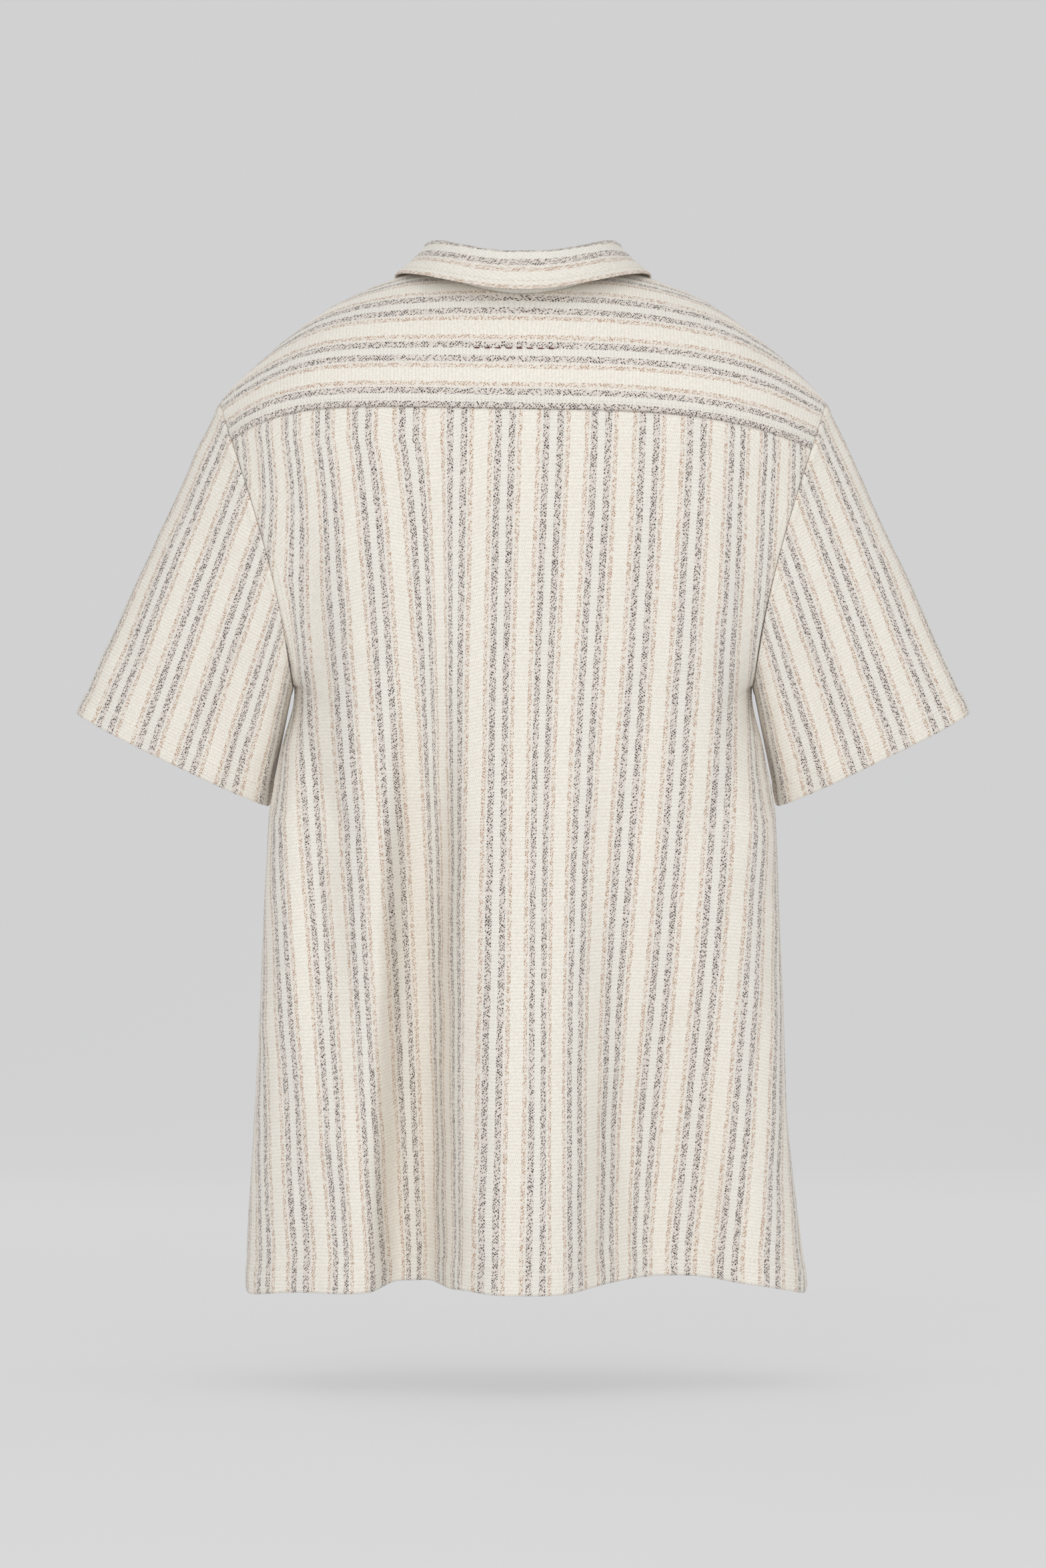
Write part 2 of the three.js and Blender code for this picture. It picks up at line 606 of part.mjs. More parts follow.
// Triangles of the outer face, the inner face and the rim between them.
function closeWall(outer, inner, rows, cols, ring) {
  const triangles = [];
  const count = rows * cols;
  const quad = (a, b, c, d) => triangles.push(a, b, c, a, c, d);
  const spans = ring ? cols : cols - 1;
  const at = (row, col) => row * cols + (col % cols);
  for (let row = 0; row < rows - 1; row += 1) {
    for (let col = 0; col < spans; col += 1) {
      const [a, b, c, d] = [at(row, col), at(row, col + 1), at(row + 1, col + 1), at(row + 1, col)];
      quad(a, b, c, d);
      quad(count + d, count + c, count + b, count + a);
    }
  }
  for (let col = 0; col < spans; col += 1) {
    const [a, b, c, d] = [at(0, col), at(0, col + 1), at(rows - 1, col), at(rows - 1, col + 1)];
    quad(b, a, count + a, count + b);
    quad(c, d, count + d, count + c);
  }
  for (let row = 0; row < rows - 1 && !ring; row += 1) {
    const [a, b, c, d] = [at(row, 0), at(row + 1, 0), at(row, cols - 1), at(row + 1, cols - 1)];
    quad(a, b, count + b, count + a);
    quad(d, c, count + c, count + d);
  }
  const geometry = new THREE.BufferGeometry();
  const positions = [...outer, ...inner].flatMap((point) => point.toArray());
  geometry.setAttribute('position', new THREE.Float32BufferAttribute(positions, 3));
  geometry.setIndex(triangles);
  return geometry;
}

function buttonGeometry() {
  const { radius, baseRadius, thickness, edgeHeight, rim, dish } = button;
  const profile = [
    new THREE.Vector2(0, 0),
    new THREE.Vector2(baseRadius, 0),
    new THREE.Vector2(radius, edgeHeight),
    new THREE.Vector2(radius - rim, thickness),
    new THREE.Vector2(0, thickness - dish),
  ];
  return new THREE.LatheGeometry(profile, divisions.buttonRound);
}

// Buttons down the middle of the left front, each lying flat on the cloth.
function buttons(geometry) {
  const meshes = [];
  for (let i = 0; i < button.count; i += 1) {
    const z = button.firstZ - button.spacing * i;
    const surface = (height) => new THREE.Vector3(0, bodyY(-1, 0, height), height);
    const down = surface(z - button.radius).sub(surface(z + button.radius));
    const facing = new THREE.Vector3(-1, 0, 0).cross(down).normalize();
    const mesh = new THREE.Mesh(geometry, buttonPlastic);
    mesh.name = `button_${i + 1}`;
    mesh.position.copy(surface(z)).addScaledVector(facing, button.lift);
    mesh.quaternion.setFromUnitVectors(new THREE.Vector3(0, 1, 0), facing);
    meshes.push(mesh);
  }
  return meshes;
}

function makePieces() {
  const back = backGrid();
  const grids = [
    { name: 'back', grid: back, flip: true },
    { name: 'yoke', grid: yokeGrid(back[0]), flip: false },
    { name: 'front_left', grid: frontGrid(1), flip: true },
    { name: 'front_right', grid: frontGrid(-1), flip: false },
    { name: 'sleeve_left', grid: sleeveGrid(1), ring: true, flip: true },
    { name: 'sleeve_right', grid: sleeveGrid(-1), ring: true, flip: false },
    { name: 'collar', grid: collarGrid(), flip: true },
  ];
  grids.forEach((piece) => {
    if (piece.flip) {
      piece.grid = piece.grid.map((points) => [...points].reverse());
    }
    piece.normals = gridNormals(piece.grid, piece.ring);
  });
  return grids;
}

const shirt = new THREE.Group();
const pieces = makePieces();
const meeting = new Map();
pieces.forEach((piece) => {
  piece.grid.forEach((points, row) => {
    points.forEach((point, col) => {
      const key = placeKey(point);
      const entry = { piece, normal: piece.normals[row][col] };
      meeting.set(key, [...(meeting.get(key) ?? []), entry]);
    });
  });
});
pieces.forEach((piece) => {
  const mesh = new THREE.Mesh(wallGeometry(piece, meeting), cloth);
  mesh.name = piece.name;
  shirt.add(mesh);
});
shirt.add(...buttons(buttonGeometry()));

export default shirt;
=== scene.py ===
import math

import bpy
import numpy as np
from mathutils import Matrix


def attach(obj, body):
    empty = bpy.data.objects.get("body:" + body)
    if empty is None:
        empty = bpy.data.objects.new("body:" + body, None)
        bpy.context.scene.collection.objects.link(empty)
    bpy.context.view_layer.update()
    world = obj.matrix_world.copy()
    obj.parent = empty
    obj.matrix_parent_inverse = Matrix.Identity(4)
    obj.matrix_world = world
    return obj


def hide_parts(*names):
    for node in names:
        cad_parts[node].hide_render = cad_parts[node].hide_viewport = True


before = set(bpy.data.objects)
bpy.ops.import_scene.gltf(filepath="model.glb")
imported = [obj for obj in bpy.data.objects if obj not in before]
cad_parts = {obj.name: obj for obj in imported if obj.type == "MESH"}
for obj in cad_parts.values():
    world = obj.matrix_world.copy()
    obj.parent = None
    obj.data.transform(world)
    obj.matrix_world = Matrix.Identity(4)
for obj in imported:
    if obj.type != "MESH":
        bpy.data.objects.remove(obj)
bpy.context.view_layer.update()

# A short-sleeved shirt of striped cloth, seen from the back. Lengths are worked out in
# millimetres and put into the meshes in metres. +X is the wearer's left, +Y the back, +Z up.
mm = 0.001
print("frame loaded")

# Camera.

cameraView = {"place": (0.0, 3.290, -0.046), "downDegrees": 5.63, "lens": 105.0, "sensor": 36.0}


def makeCamera():
    data = bpy.data.cameras.new("camera")
    data.lens = cameraView["lens"]
    data.sensor_width = cameraView["sensor"]
    camera = bpy.data.objects.new("camera", data)
    bpy.context.scene.collection.objects.link(camera)
    camera.location = cameraView["place"]
    camera.rotation_euler = (math.radians(90 - cameraView["downDegrees"]), 0, math.pi)
    bpy.context.scene.camera = camera


makeCamera()
print("camera made")


# Small sums that every piece uses.

def mix(a, b, t):
    return a + (b - a) * t


def ease(t):
    t = np.clip(t, 0, 1)
    return t * t * (3 - 2 * t)


def signedPower(value, power):
    return np.sign(value) * np.abs(value) ** power


# A smooth bell: 1 at no distance, and exp(-(distance / width) ^ 2) away from it.
def bell(distance, width):
    return np.exp(-((distance / width) ** 2))


# A cubic Hermite curve through a table's rows, whose slope at a row comes from its two neighbours.
def readTable(table, key, at, column):
    keys = np.asarray(table[key], float)
    values = np.asarray(table[column], float)
    at = np.asarray(at, float)
    if keys[-1] < keys[0]:
        keys, at = -keys, -at
    top = np.clip(np.searchsorted(keys, at), 1, len(keys) - 1)
    low = top - 1
    before = np.maximum(low - 1, 0)
    after = np.minimum(top + 1, len(keys) - 1)
    span = keys[top] - keys[low]
    t = np.clip((at - keys[low]) / span, 0, 1)
    slopeLow = (values[top] - values[before]) / (keys[top] - keys[before]) * span
    slopeTop = (values[after] - values[low]) / (keys[after] - keys[low]) * span
    first = (2 * t**3 - 3 * t**2 + 1) * values[low] + (t**3 - 2 * t**2 + t) * slopeLow
    return first + (3 * t**2 - 2 * t**3) * values[top] + (t**3 - t**2) * slopeTop


# Running length along each row of points, from 0 at its start.
def runLengths(lines):
    steps = np.linalg.norm(np.diff(lines, axis=1), axis=2)
    return np.concatenate([np.zeros((len(lines), 1)), np.cumsum(steps, axis=1)], axis=1)


# Each row's points moved along it to the given fractions of its length, by straight mixing.
def spreadRows(lines, fractions):
    lengths = runLengths(lines)
    share = lengths / lengths[:, -1:]
    offset = 2.0 * np.arange(len(lines))[:, None]
    wanted = np.broadcast_to(fractions, (len(lines), np.shape(fractions)[-1])) + offset
    known = (share + offset).ravel()
    parts = [np.interp(wanted.ravel(), known, lines[..., k].ravel()) for k in range(3)]
    return np.stack(parts, axis=-1).reshape(wanted.shape + (3,))


# Numbers from start to end that lie closer together at both ends: t - tight sin(2 pi t) / 2 pi.
def closeEnds(start, end, count, tight=0.5):
    t = np.linspace(0, 1, count + 1)
    return mix(start, end, t - tight * np.sin(2 * np.pi * t) / (2 * np.pi))


# Smooth unevenness, mostly from -1 to 1: a sum of plane waves with seeded directions and phases.
noiseWaves = {"count": 14, "shortest": 0.7, "longest": 1.6}


def softNoise(a, b, size, seed):
    random = np.random.default_rng(seed)
    total = np.zeros(np.broadcast(a, b).shape)
    for _ in range(noiseWaves["count"]):
        turn = random.uniform(0, 2 * np.pi)
        reach = 2 * np.pi / (size * random.uniform(noiseWaves["shortest"], noiseWaves["longest"]))
        phase = random.uniform(0, 2 * np.pi)
        total += np.sin(reach * (a * np.cos(turn) + b * np.sin(turn)) + phase)
    return total / (noiseWaves["count"] / 2)


# Directions square to a grid: the cross product of its two running differences.
def gridNormals(grid, ring=False):
    if ring:
        wrapped = np.concatenate([grid[:, -1:], grid, grid[:, :1]], axis=1)
        across = wrapped[:, 2:] - wrapped[:, :-2]
    else:
        across = np.gradient(grid, axis=1)
    normals = np.cross(across, np.gradient(grid, axis=0))
    return normals / np.maximum(np.linalg.norm(normals, axis=2, keepdims=True), 1e-9)


# Faces of a grid, each from four neighbours: a point, the next in its row, and the two below them.
def gridFaces(rows, columns, ring=False):
    steps = columns if ring else columns - 1
    row, column = np.meshgrid(np.arange(rows - 1), np.arange(steps), indexing="ij")
    after = (column + 1) % columns
    start, below = row * columns, (row + 1) * columns
    return np.stack([start + column, start + after, below + after, below + column], axis=-1).reshape(-1, 4)


# A table's rows, each as a dictionary of its named columns.
def rowsOf(table):
    return [dict(zip(table, row)) for row in zip(*table.values())]


# A mesh of points in millimetres and faces, with one pair of cloth measures for each point, or for
# each face corner where the cloth runs round and meets itself.
def makeMesh(name, points, faces, cloth=None, cornerCloth=None):
    mesh = bpy.data.meshes.new(name)
    corners = faces if isinstance(faces, list) else faces.tolist()
    mesh.from_pydata((points.reshape(-1, 3) * mm).tolist(), [], corners)
    if cloth is not None:
        cornerCloth = cloth.reshape(-1, 2)[faces.ravel()]
    if cornerCloth is not None:
        layer = mesh.uv_layers.new(name="cloth")
        layer.data.foreach_set("uv", cornerCloth.astype(np.float32).ravel())
    mesh.polygons.foreach_set("use_smooth", np.ones(len(faces), bool))
    mesh.update()
    piece = bpy.data.objects.new(name, mesh)
    bpy.context.scene.collection.objects.link(piece)
    return piece


def giveThickness(piece, thickness):
    shell = piece.modifiers.new("thickness", "SOLIDIFY")
    shell.thickness = thickness * mm
    shell.offset = -1
    shell.use_rim = True
    shell.use_even_offset = False


# The shirt's cut, as the solids have it.

neck = {"halfWidth": 72, "halfDepth": 75, "frontDrop": 75, "dropPower": 1.8, "frontCorner": 1.98}
armhole = {
    "tipX": 217, "tipZ": -95, "height": 203, "underarmX": 165.5, "flare": 1.6,
    "halfDepth": 64, "roundness": 0.9, "frontCorner": 0.63,
}
shoulder = {"neckZ": 7.5, "fall": 92.6, "fallPower": 2.14, "tipFall": 9.9, "tipPower": 22}
yokeSeam = {"centreZ": -98, "tilt": 3, "drop": 26.5, "leftPower": 6, "rightPower": 3.5}
yokeFront = {"middleDrop": 15, "slopePower": 1.8, "settle": 6}
hem = {"backZ": -719, "frontZ": -723, "sideZ": -738.5, "power": 6}
hemCrease = {"drop": 6, "start": 0.15, "end": 0.4}
bodyWidths = {
    "z": [-110, -150, -200, -250, -298, -345, -390, -470, -545, -622, -700, -745],
    "left": [231, 229, 212, 190, 165.5, 174.5, 182.5, 187, 190.5, 195, 200, 201],
    "right": [231, 229, 212, 190, 165.5, 173.5, 181.5, 185, 188.5, 192, 201.5, 207],
    "beyond": [0, 0, 0, 0, 14, 4, 0, 0, 0, 0, 0, 0],
    "edgeY": [0, 0, 0, 1, 0, 4, 7, 8, 8, 8, 8, 8],
}
bodyDepths = {
    "z": [-10, -40, -75, -110, -150, -200, -298, -345, -390, -470, -622, -745],
    "back": [70, 95, 110, 117, 118, 114, 102, 97, 94, 92, 90, 90],
    "backPower": [1.9, 1.9, 1.9, 1.9, 1.9, 2.1, 2.4, 2.5, 2.6, 2.7, 2.8, 2.8],
    "front": [26, 53, 75, 90, 98, 103, 106, 105, 104, 102, 98, 95],
    "frontPower": [1.8, 1.8, 1.8, 1.8, 1.9, 2, 2.2, 2.3, 2.4, 2.5, 2.6, 2.6],
}
edgeBlend = 14
foldFade = 6
rowSpread = {"upperShare": 0.36, "power": 4}
cutRows = {
    "armhole": 8, "side": 9, "yokeBack": 4, "yokeFront": 3, "yokeNeck": 10, "yokeSide": 18,
    "frontNeck": 6,
}
bodyRows = cutRows["armhole"] + cutRows["side"]
halfBack = cutRows["yokeNeck"] + cutRows["yokeSide"]
fineSteps = {"back": 601, "front": 481, "yoke": 401}
rowTight = {"above": 0.35, "below": 0.45, "sleeve": 0.6, "collar": 0.2}
underarmZ = armhole["tipZ"] - armhole["height"]

# Folds that run down the body: where each lies at its top and at the hem, how wide and deep it
# is, and the heights between which it grows and fades.
backFolds = {
    "xTop": [-10, 66, 125, 160, -96],
    "xHem": [-2, 80, 130, 128, -108],
    "width": [46, 22, 26, 19, 40],
    "power": [4, 4, 2, 2, 3],
    "depth": [40, -42, 10, -17, -29],
    "start": [-200, -240, -430, -104, -420],
    "full": [-722, -480, -700, -330, -700],
    "ebb": [-800, -800, -800, -450, -800],
    "end": [-900, -900, -900, -640, -900],
}
frontFolds = {
    "xTop": [104, 156, -84, -158],
    "xHem": [92, 138, -96, -142],
    "width": [30, 20, 24, 20],
    "power": [3, 2, 4, 2],
    "depth": [-24, -12, -32, -10],
    "start": [-380, -170, -300, -180],
    "full": [-680, -330, -560, -300],
    "ebb": [-800, -440, -800, -460],
    "end": [-900, -620, -900, -640],
}


# A fold's push is depth times exp(-|distance / width| ^ power), grown and faded by height.
def foldPush(folds, x, z):
    total = np.zeros(np.broadcast(x, z).shape)
    for fold in rowsOf(folds):
        start, ebb = fold["start"], fold["ebb"]
        centre = mix(fold["xTop"], fold["xHem"], np.clip((z - start) / (hem["backZ"] - start), 0, 1))
        grown = ease((z - start) / (fold["full"] - start)) * (1 - ease((z - ebb) / (fold["end"] - ebb)))
        shape = np.exp(-(np.abs((x - centre) / fold["width"]) ** fold["power"]))
        total += fold["depth"] * grown * shape
    return total


# Folds and creases fade toward a panel's edges, where across is 1 or -1.
def fadeAcross(across):
    return np.sqrt(np.maximum(0, 1 - across**foldFade))


# The shoulder line falls as |x| ^ fallPower, and faster close to its tip.
def shoulderZ(x):
    out = np.abs(x / armhole["tipX"])
    broad = shoulder["fall"] * out ** shoulder["fallPower"]
    return shoulder["neckZ"] - broad - shoulder["tipFall"] * out ** shoulder["tipPower"]


def yokeSeamZ(across):
    power = np.where(np.asarray(across) > 0, yokeSeam["leftPower"], yokeSeam["rightPower"])
    return yokeSeam["centreZ"] + yokeSeam["tilt"] * across - yokeSeam["drop"] * np.abs(across) ** power


def hemZ(across, facing):
    step = hemCrease["drop"] * ease((across - hemCrease["start"]) / (hemCrease["end"] - hemCrease["start"]))
    middle = hem["backZ"] - step if facing > 0 else hem["frontZ"]
    return mix(middle, hem["sideZ"], np.abs(across) ** hem["power"])


# The armhole's angle is 0 at the shoulder tip and half a turn at the underarm, plus at the back.
def armholePoint(side, angle):
    fallen = (1 - np.cos(angle)) / 2
    x = mix(armhole["underarmX"], armhole["tipX"], (1 - fallen) ** armhole["flare"])
    y = armhole["halfDepth"] * signedPower(np.sin(angle), armhole["roundness"])
    return np.stack([side * x, y, armhole["tipZ"] - armhole["height"] * fallen], axis=-1)


def backCorner(side):
    return math.acos(1 - 2 * (armhole["tipZ"] - float(yokeSeamZ(side))) / armhole["height"])


def widthAt(side, z):
    return np.where(side > 0, readTable(bodyWidths, "z", z, "left"), readTable(bodyWidths, "z", z, "right"))


# A body panel's edge: down the armhole from a corner, then down the side seam.
def panelEdge(side, corner, facing, row):
    row = np.asarray(row, float)
    onArmhole = armholePoint(side, facing * mix(corner, np.pi, np.clip(row / cutRows["armhole"], 0, 1)))
    z = mix(underarmZ, hem["sideZ"], np.clip((row - cutRows["armhole"]) / cutRows["side"], 0, 1))
    onSide = np.stack([side * widthAt(side, z), readTable(bodyWidths, "z", z, "edgeY"), z], axis=-1)
    return np.where((row < cutRows["armhole"])[..., None], onArmhole, onSide)


# The body's surface: y = edgeY + (depth - edgeY) (1 - |x / width| ^ p) ^ (1 / p).
def bodyY(facing, x, z):
    names = ("back", "backPower") if facing > 0 else ("front", "frontPower")
    power = readTable(bodyDepths, "z", z, names[1])
    width = widthAt(np.sign(x), z) + readTable(bodyWidths, "z", z, "beyond")
    rise = np.maximum(0, 1 - np.abs(x / width) ** power) ** (1 / power)
    middle = facing * readTable(bodyDepths, "z", z, names[0])
    return mix(readTable(bodyWidths, "z", z, "edgeY"), middle, rise)


# The same surface drawn to the panel's own edge, with the folds' push.
def panelY(facing, x, z, edge, folds):
    across = np.clip(np.abs(x / edge[..., 0]), 0, 1)
    drawn = (edge[..., 1] - bodyY(facing, edge[..., 0], edge[..., 2])) * across**edgeBlend
    push = 0 if folds is None else facing * foldPush(folds, x, z) * fadeAcross(across)
    return bodyY(facing, x, z) + drawn + push


# How far down a panel a row lies: even in the middle, and at its own edge point there.
def shareDown(edgeZ, topZ, row, across):
    atEdge = (edgeZ - topZ) / (hem["sideZ"] - topZ)
    upper = rowSpread["upperShare"] * row / cutRows["armhole"]
    lower = mix(rowSpread["upperShare"], 1, (row - cutRows["armhole"]) / cutRows["side"])
    inMiddle = np.where(row < cutRows["armhole"], upper, lower)
    return mix(inMiddle, atEdge, np.abs(across) ** rowSpread["power"])


def neckPlan(angle):
    angle = np.asarray(angle, float)
    x, y = neck["halfWidth"] * np.sin(angle), neck["halfDepth"] * np.cos(angle)
    return np.stack([x, y, 0 * angle], axis=-1)


def neckFrontZ(angle):
    return -neck["frontDrop"] * np.abs(np.cos(angle)) ** neck["dropPower"]


# The front yoke seam, from the neck corner out to the armhole.
def frontSeam(side, part):
    part = np.asarray(part, float)
    corner = armholePoint(side, -armhole["frontCorner"])
    start = neckPlan(neck["frontCorner"])
    x = mix(start[0], abs(corner[0]), part)
    neckFall = shoulderZ(start[0]) - neckFrontZ(neck["frontCorner"])
    fall = mix(neckFall, shoulderZ(corner[0]) - corner[2], part)
    z = shoulderZ(x) - fall - yokeFront["middleDrop"] * np.sin(np.pi * part)
    y = mix(start[1], panelY(-1, side * x, z, corner, None), ease(part * yokeFront["settle"]))
    line = np.stack([side * x, y, z], axis=-1)
    return np.where((part >= 1)[..., None], corner, line)


# The cloth's pattern.

# The stripes of one repeat, by the distance in millimetres from the middle of a dark pair to the
# end of each band: its ground, the thread that shows on it, and how strongly that thread shows.
knit = {
    "repeat": 33.4,
    "bands": [
        {"end": 2.5, "ground": (240, 237, 228), "thread": (208, 206, 202), "shows": 0.25},
        {"end": 7.15, "ground": (230, 222, 214), "thread": (34, 24, 22), "shows": 1.0},
        {"end": 8.7, "ground": (240, 236, 227), "thread": (212, 200, 190), "shows": 0.4},
        {"end": 11.8, "ground": (239, 231, 220), "thread": (172, 128, 92), "shows": 0.9},
        {"end": 16.7, "ground": (246, 242, 232), "thread": (222, 207, 192), "shows": 0.4},
    ],
    "softEdge": 0.22, "sway": 0.6, "swayScale": 0.22,
    # Dashes: their size, lean and scatter, how their edge fades, and where they are left out.
    "dashLength": 1.55, "dashWidth": 0.85, "dashLean": 52, "dashScatter": 0.75, "dashEdge": (0.5, 0.3),
    "dashChance": (0.47, 1.02), "patches": 0.45, "patchScale": 0.35,
    # Relief: the waffle's rows and pits, the fibre and the dashes on it, and the painted shade that darkens
    # the waffle's hollows.
    "rowPitch": 2.57, "rowDepth": 0.25, "pitPitch": 1.4, "pitDepth": 0.14, "fibreDepth": 0.5,
    "dashDepth": 0.3, "reliefHeight": 0.35, "bump": 0.7, "fibreScale": 2.4, "pitShade": 1.2,
    "pits": [(0.05, (0.85, 0.82, 0.795, 1)), (0.42, (1, 1, 1, 1))],
    # Surface: its roughness and how much the fibre varies it, its sheen and its dull shine.
    "roughness": 0.86, "fuzz": 0.12, "sheen": 0.12, "sheenRoughness": 0.5, "shine": 0.25,
}


# Creases that the solids are too coarse for, placed one by one as the cloth shows them.

# Each runs from (xStart, zStart) to (xEnd, zEnd) as seen from behind. Its push is depth times
# exp(-(distance / width) ^ 2), and fades over the share creaseEnds of its length at both ends.
backCreases = {
    "xStart": [172, 168, -176, -168, -150, 96, 52, -60, -118, 150, -20, 176, -180],
    "zStart": [-300, -312, -300, -316, -250, -300, -520, -560, -420, -610, -640, -520, -480],
    "xEnd": [92, 120, -96, -128, -120, 60, 34, -84, -150, 120, 10, 150, -150],
    "zEnd": [-250, -420, -262, -410, -140, -560, -715, -722, -600, -722, -722, -722, -720],
    "width": [9, 8, 9, 8, 12, 9, 8, 10, 12, 10, 10, 8, 10],
    "depth": [3.0, -3.0, 2.6, -2.6, 2.2, 3.0, 2.6, -2.4, 2.6, -2.4, 1.6, -2.0, -2.0],
}
frontCreases = {
    "xStart": [170, 166, -172, -168, 60, -50, 130],
    "zStart": [-304, -320, -302, -318, -420, -480, -420],
    "xEnd": [90, 122, -96, -126, 84, -74, 118],
    "zEnd": [-262, -420, -250, -430, -715, -720, -718],
    "width": [9, 8, 9, 8, 10, 10, 9],
    "depth": [2.6, -2.6, 2.8, -2.4, 2.4, 2.2, -2.2],
}
sleeveCreases = {
    "xStart": [196, 236, 262, 200, 246],
    "zStart": [-252, -140, -190, -300, -262],
    "xEnd": [232, 292, 300, 226, 292],
    "zEnd": [-352, -262, -318, -378, -330],
    "width": [8, 10, 9, 7, 8],
    "depth": [-3.0, 2.2, -2.2, 2.4, 1.8],
}
creaseEnds = 0.3


def creasePush(creases, x, z):
    total = np.zeros(np.broadcast(x, z).shape)
    for crease in rowsOf(creases):
        start = np.array([crease["xStart"], crease["zStart"]], float)
        way = np.array([crease["xEnd"], crease["zEnd"]], float) - start
        length = np.hypot(*way)
        along = ((x - start[0]) * way[0] + (z - start[1]) * way[1]) / length**2
        away = np.abs((x - start[0]) * way[1] - (z - start[1]) * way[0]) / length
        ends = ease(along / creaseEnds) * ease((1 - along) / creaseEnds)
        total += crease["depth"] * ends * bell(away, crease["width"])
    return total


# A sewn edge seen from outside: a groove at the join, a low ridge over the folded allowance,
# and a fine line where the stitching presses it down.
seamShape = {
    "groove": 0.7, "grooveWidth": 1.3, "ridge": 0.45, "ridgeStart": 1.5, "ridgeWidth": 8.0, "ridgeEnd": 2,
    "stitchAt": 6.0, "press": 0.3, "pressWidth": 0.8,
}


def grooveAt(distance):
    return -seamShape["groove"] * bell(distance, seamShape["grooveWidth"])


# From 1 down to 0 over a short width, half way down at the given place.
def stepDown(distance, place, width=2):
    return ease((place + width / 2 - distance) / width)


def seamRelief(distance):
    ridge = seamShape["ridge"] * ease(distance / seamShape["ridgeStart"])
    ridge = ridge * stepDown(distance, seamShape["ridgeWidth"], seamShape["ridgeEnd"])
    press = seamShape["press"] * bell(distance - seamShape["stitchAt"], seamShape["pressWidth"])
    return grooveAt(distance) + ridge - press


# A turned-up hem: two layers thick down to the edge, pressed along its stitching, and slightly
# drawn up between the stitches.
hemShape = {
    "layer": 0.75, "stitchInside": 2, "press": 0.45, "pressWidth": 1.1, "pucker": 0.32,
    "puckerSize": 9, "puckerWidth": 7, "roll": 0.9, "rollWidth": 0.9,
}


def hemRelief(distance, along, depth, seed):
    fromStitch = distance - depth + hemShape["stitchInside"]
    layer = hemShape["layer"] * stepDown(distance, depth)
    press = -hemShape["press"] * bell(fromStitch, hemShape["pressWidth"])
    pucker = hemShape["pucker"] * softNoise(along, 0 * along, hemShape["puckerSize"], seed)
    pucker = pucker * bell(fromStitch, hemShape["puckerWidth"])
    roll = -hemShape["roll"] * np.exp(-distance / hemShape["rollWidth"])
    return layer + press + pucker + roll


# Gentle unevenness of soft cloth, faded out near a piece's edges so that the seams still meet.
softCloth = {"broad": 0.9, "broadSize": 70, "fine": 0.3, "fineSize": 24, "fade": 30, "hemStart": 12}


def clothUnevenness(a, b, edgeDistance, seed):
    broad = softCloth["broad"] * softNoise(a, b, softCloth["broadSize"], seed)
    fine = softCloth["fine"] * softNoise(a, b, softCloth["fineSize"], seed + 1)
    return (broad + fine) * ease(edgeDistance / softCloth["fade"])


# Distances over the cloth from a grid's four edges: top row, last row, first and last column.
def edgeDistances(grid):
    down = runLengths(grid.transpose(1, 0, 2)).T
    across = runLengths(grid)
    return down, down[-1:] - down, across, across[:, -1:] - across


# The smallest of several distances, the one from a hem counting as a little more than it is.
def nearestEdge(hemDistance, *others):
    return np.minimum.reduce([hemDistance + softCloth["hemStart"], *others])


# Rows of a body panel's grid, closer together at its top, underarm and hem.
def bodyGridRows(panel):
    above = closeEnds(0, cutRows["armhole"], panel["rowsAbove"], rowTight["above"])
    below = closeEnds(cutRows["armhole"], bodyRows, panel["rowsBelow"], rowTight["below"])
    return np.concatenate([above[:-1], below])


# Level length along a body panel's rows, and length above the hem, without the sideways drift.
def levelRun(grid):
    step = np.hypot(np.diff(grid[..., 0], axis=1), np.diff(grid[..., 1], axis=1))
    return np.concatenate([np.zeros((len(grid), 1)), np.cumsum(step, axis=1)], axis=1)


def riseAboveHem(grid):
    rise = np.hypot(np.diff(grid[..., 1], axis=0), np.diff(grid[..., 2], axis=0))
    return np.concatenate([np.cumsum(rise[::-1], axis=0)[::-1], np.zeros((1, grid.shape[1]))], axis=0)


# Back.

back = {
    "columns": 190, "rowsAbove": 78, "rowsBelow": 150, "thickness": 1.3, "hemDepth": 20,
    "hemSeed": 21, "clothSeed": 3, "flatM": (0.56, 0.66), "areaM2": 0.31,
}
# Where the folds take up the back's width, so that the stripes close up there. Each row is one
# fold: the side of the middle it is on, where it lies at the yoke and at the hem, the width it
# spreads over, the cloth it takes in, and the heights between which it does so.
gathers = {
    "side": [1, 1, 1, 1, -1, -1],
    "xYoke": [60, 140, 162, 185, -190, 15],
    "xHem": [52, 105, 162, 185, -190, -56],
    "width": [32, 100, 16, 150, 140, 90],
    "taken": [43, 23, 21, 56, 38, 29],
    "start": [-120, -101, -220, -40, -40, -101],
    "full": [-700, -700, -278, -50, -50, -700],
    "power": [0.7, 1, 1, 1, 1, 1.5],
    "ebb": [-900, -900, -290, -138, -260, -900],
    "end": [-950, -950, -350, -270, -400, -950],
}
backStripes = {"topZ": -100, "lowZ": -700, "middleTop": 12, "middleLow": 24.5, "flankX": 160}


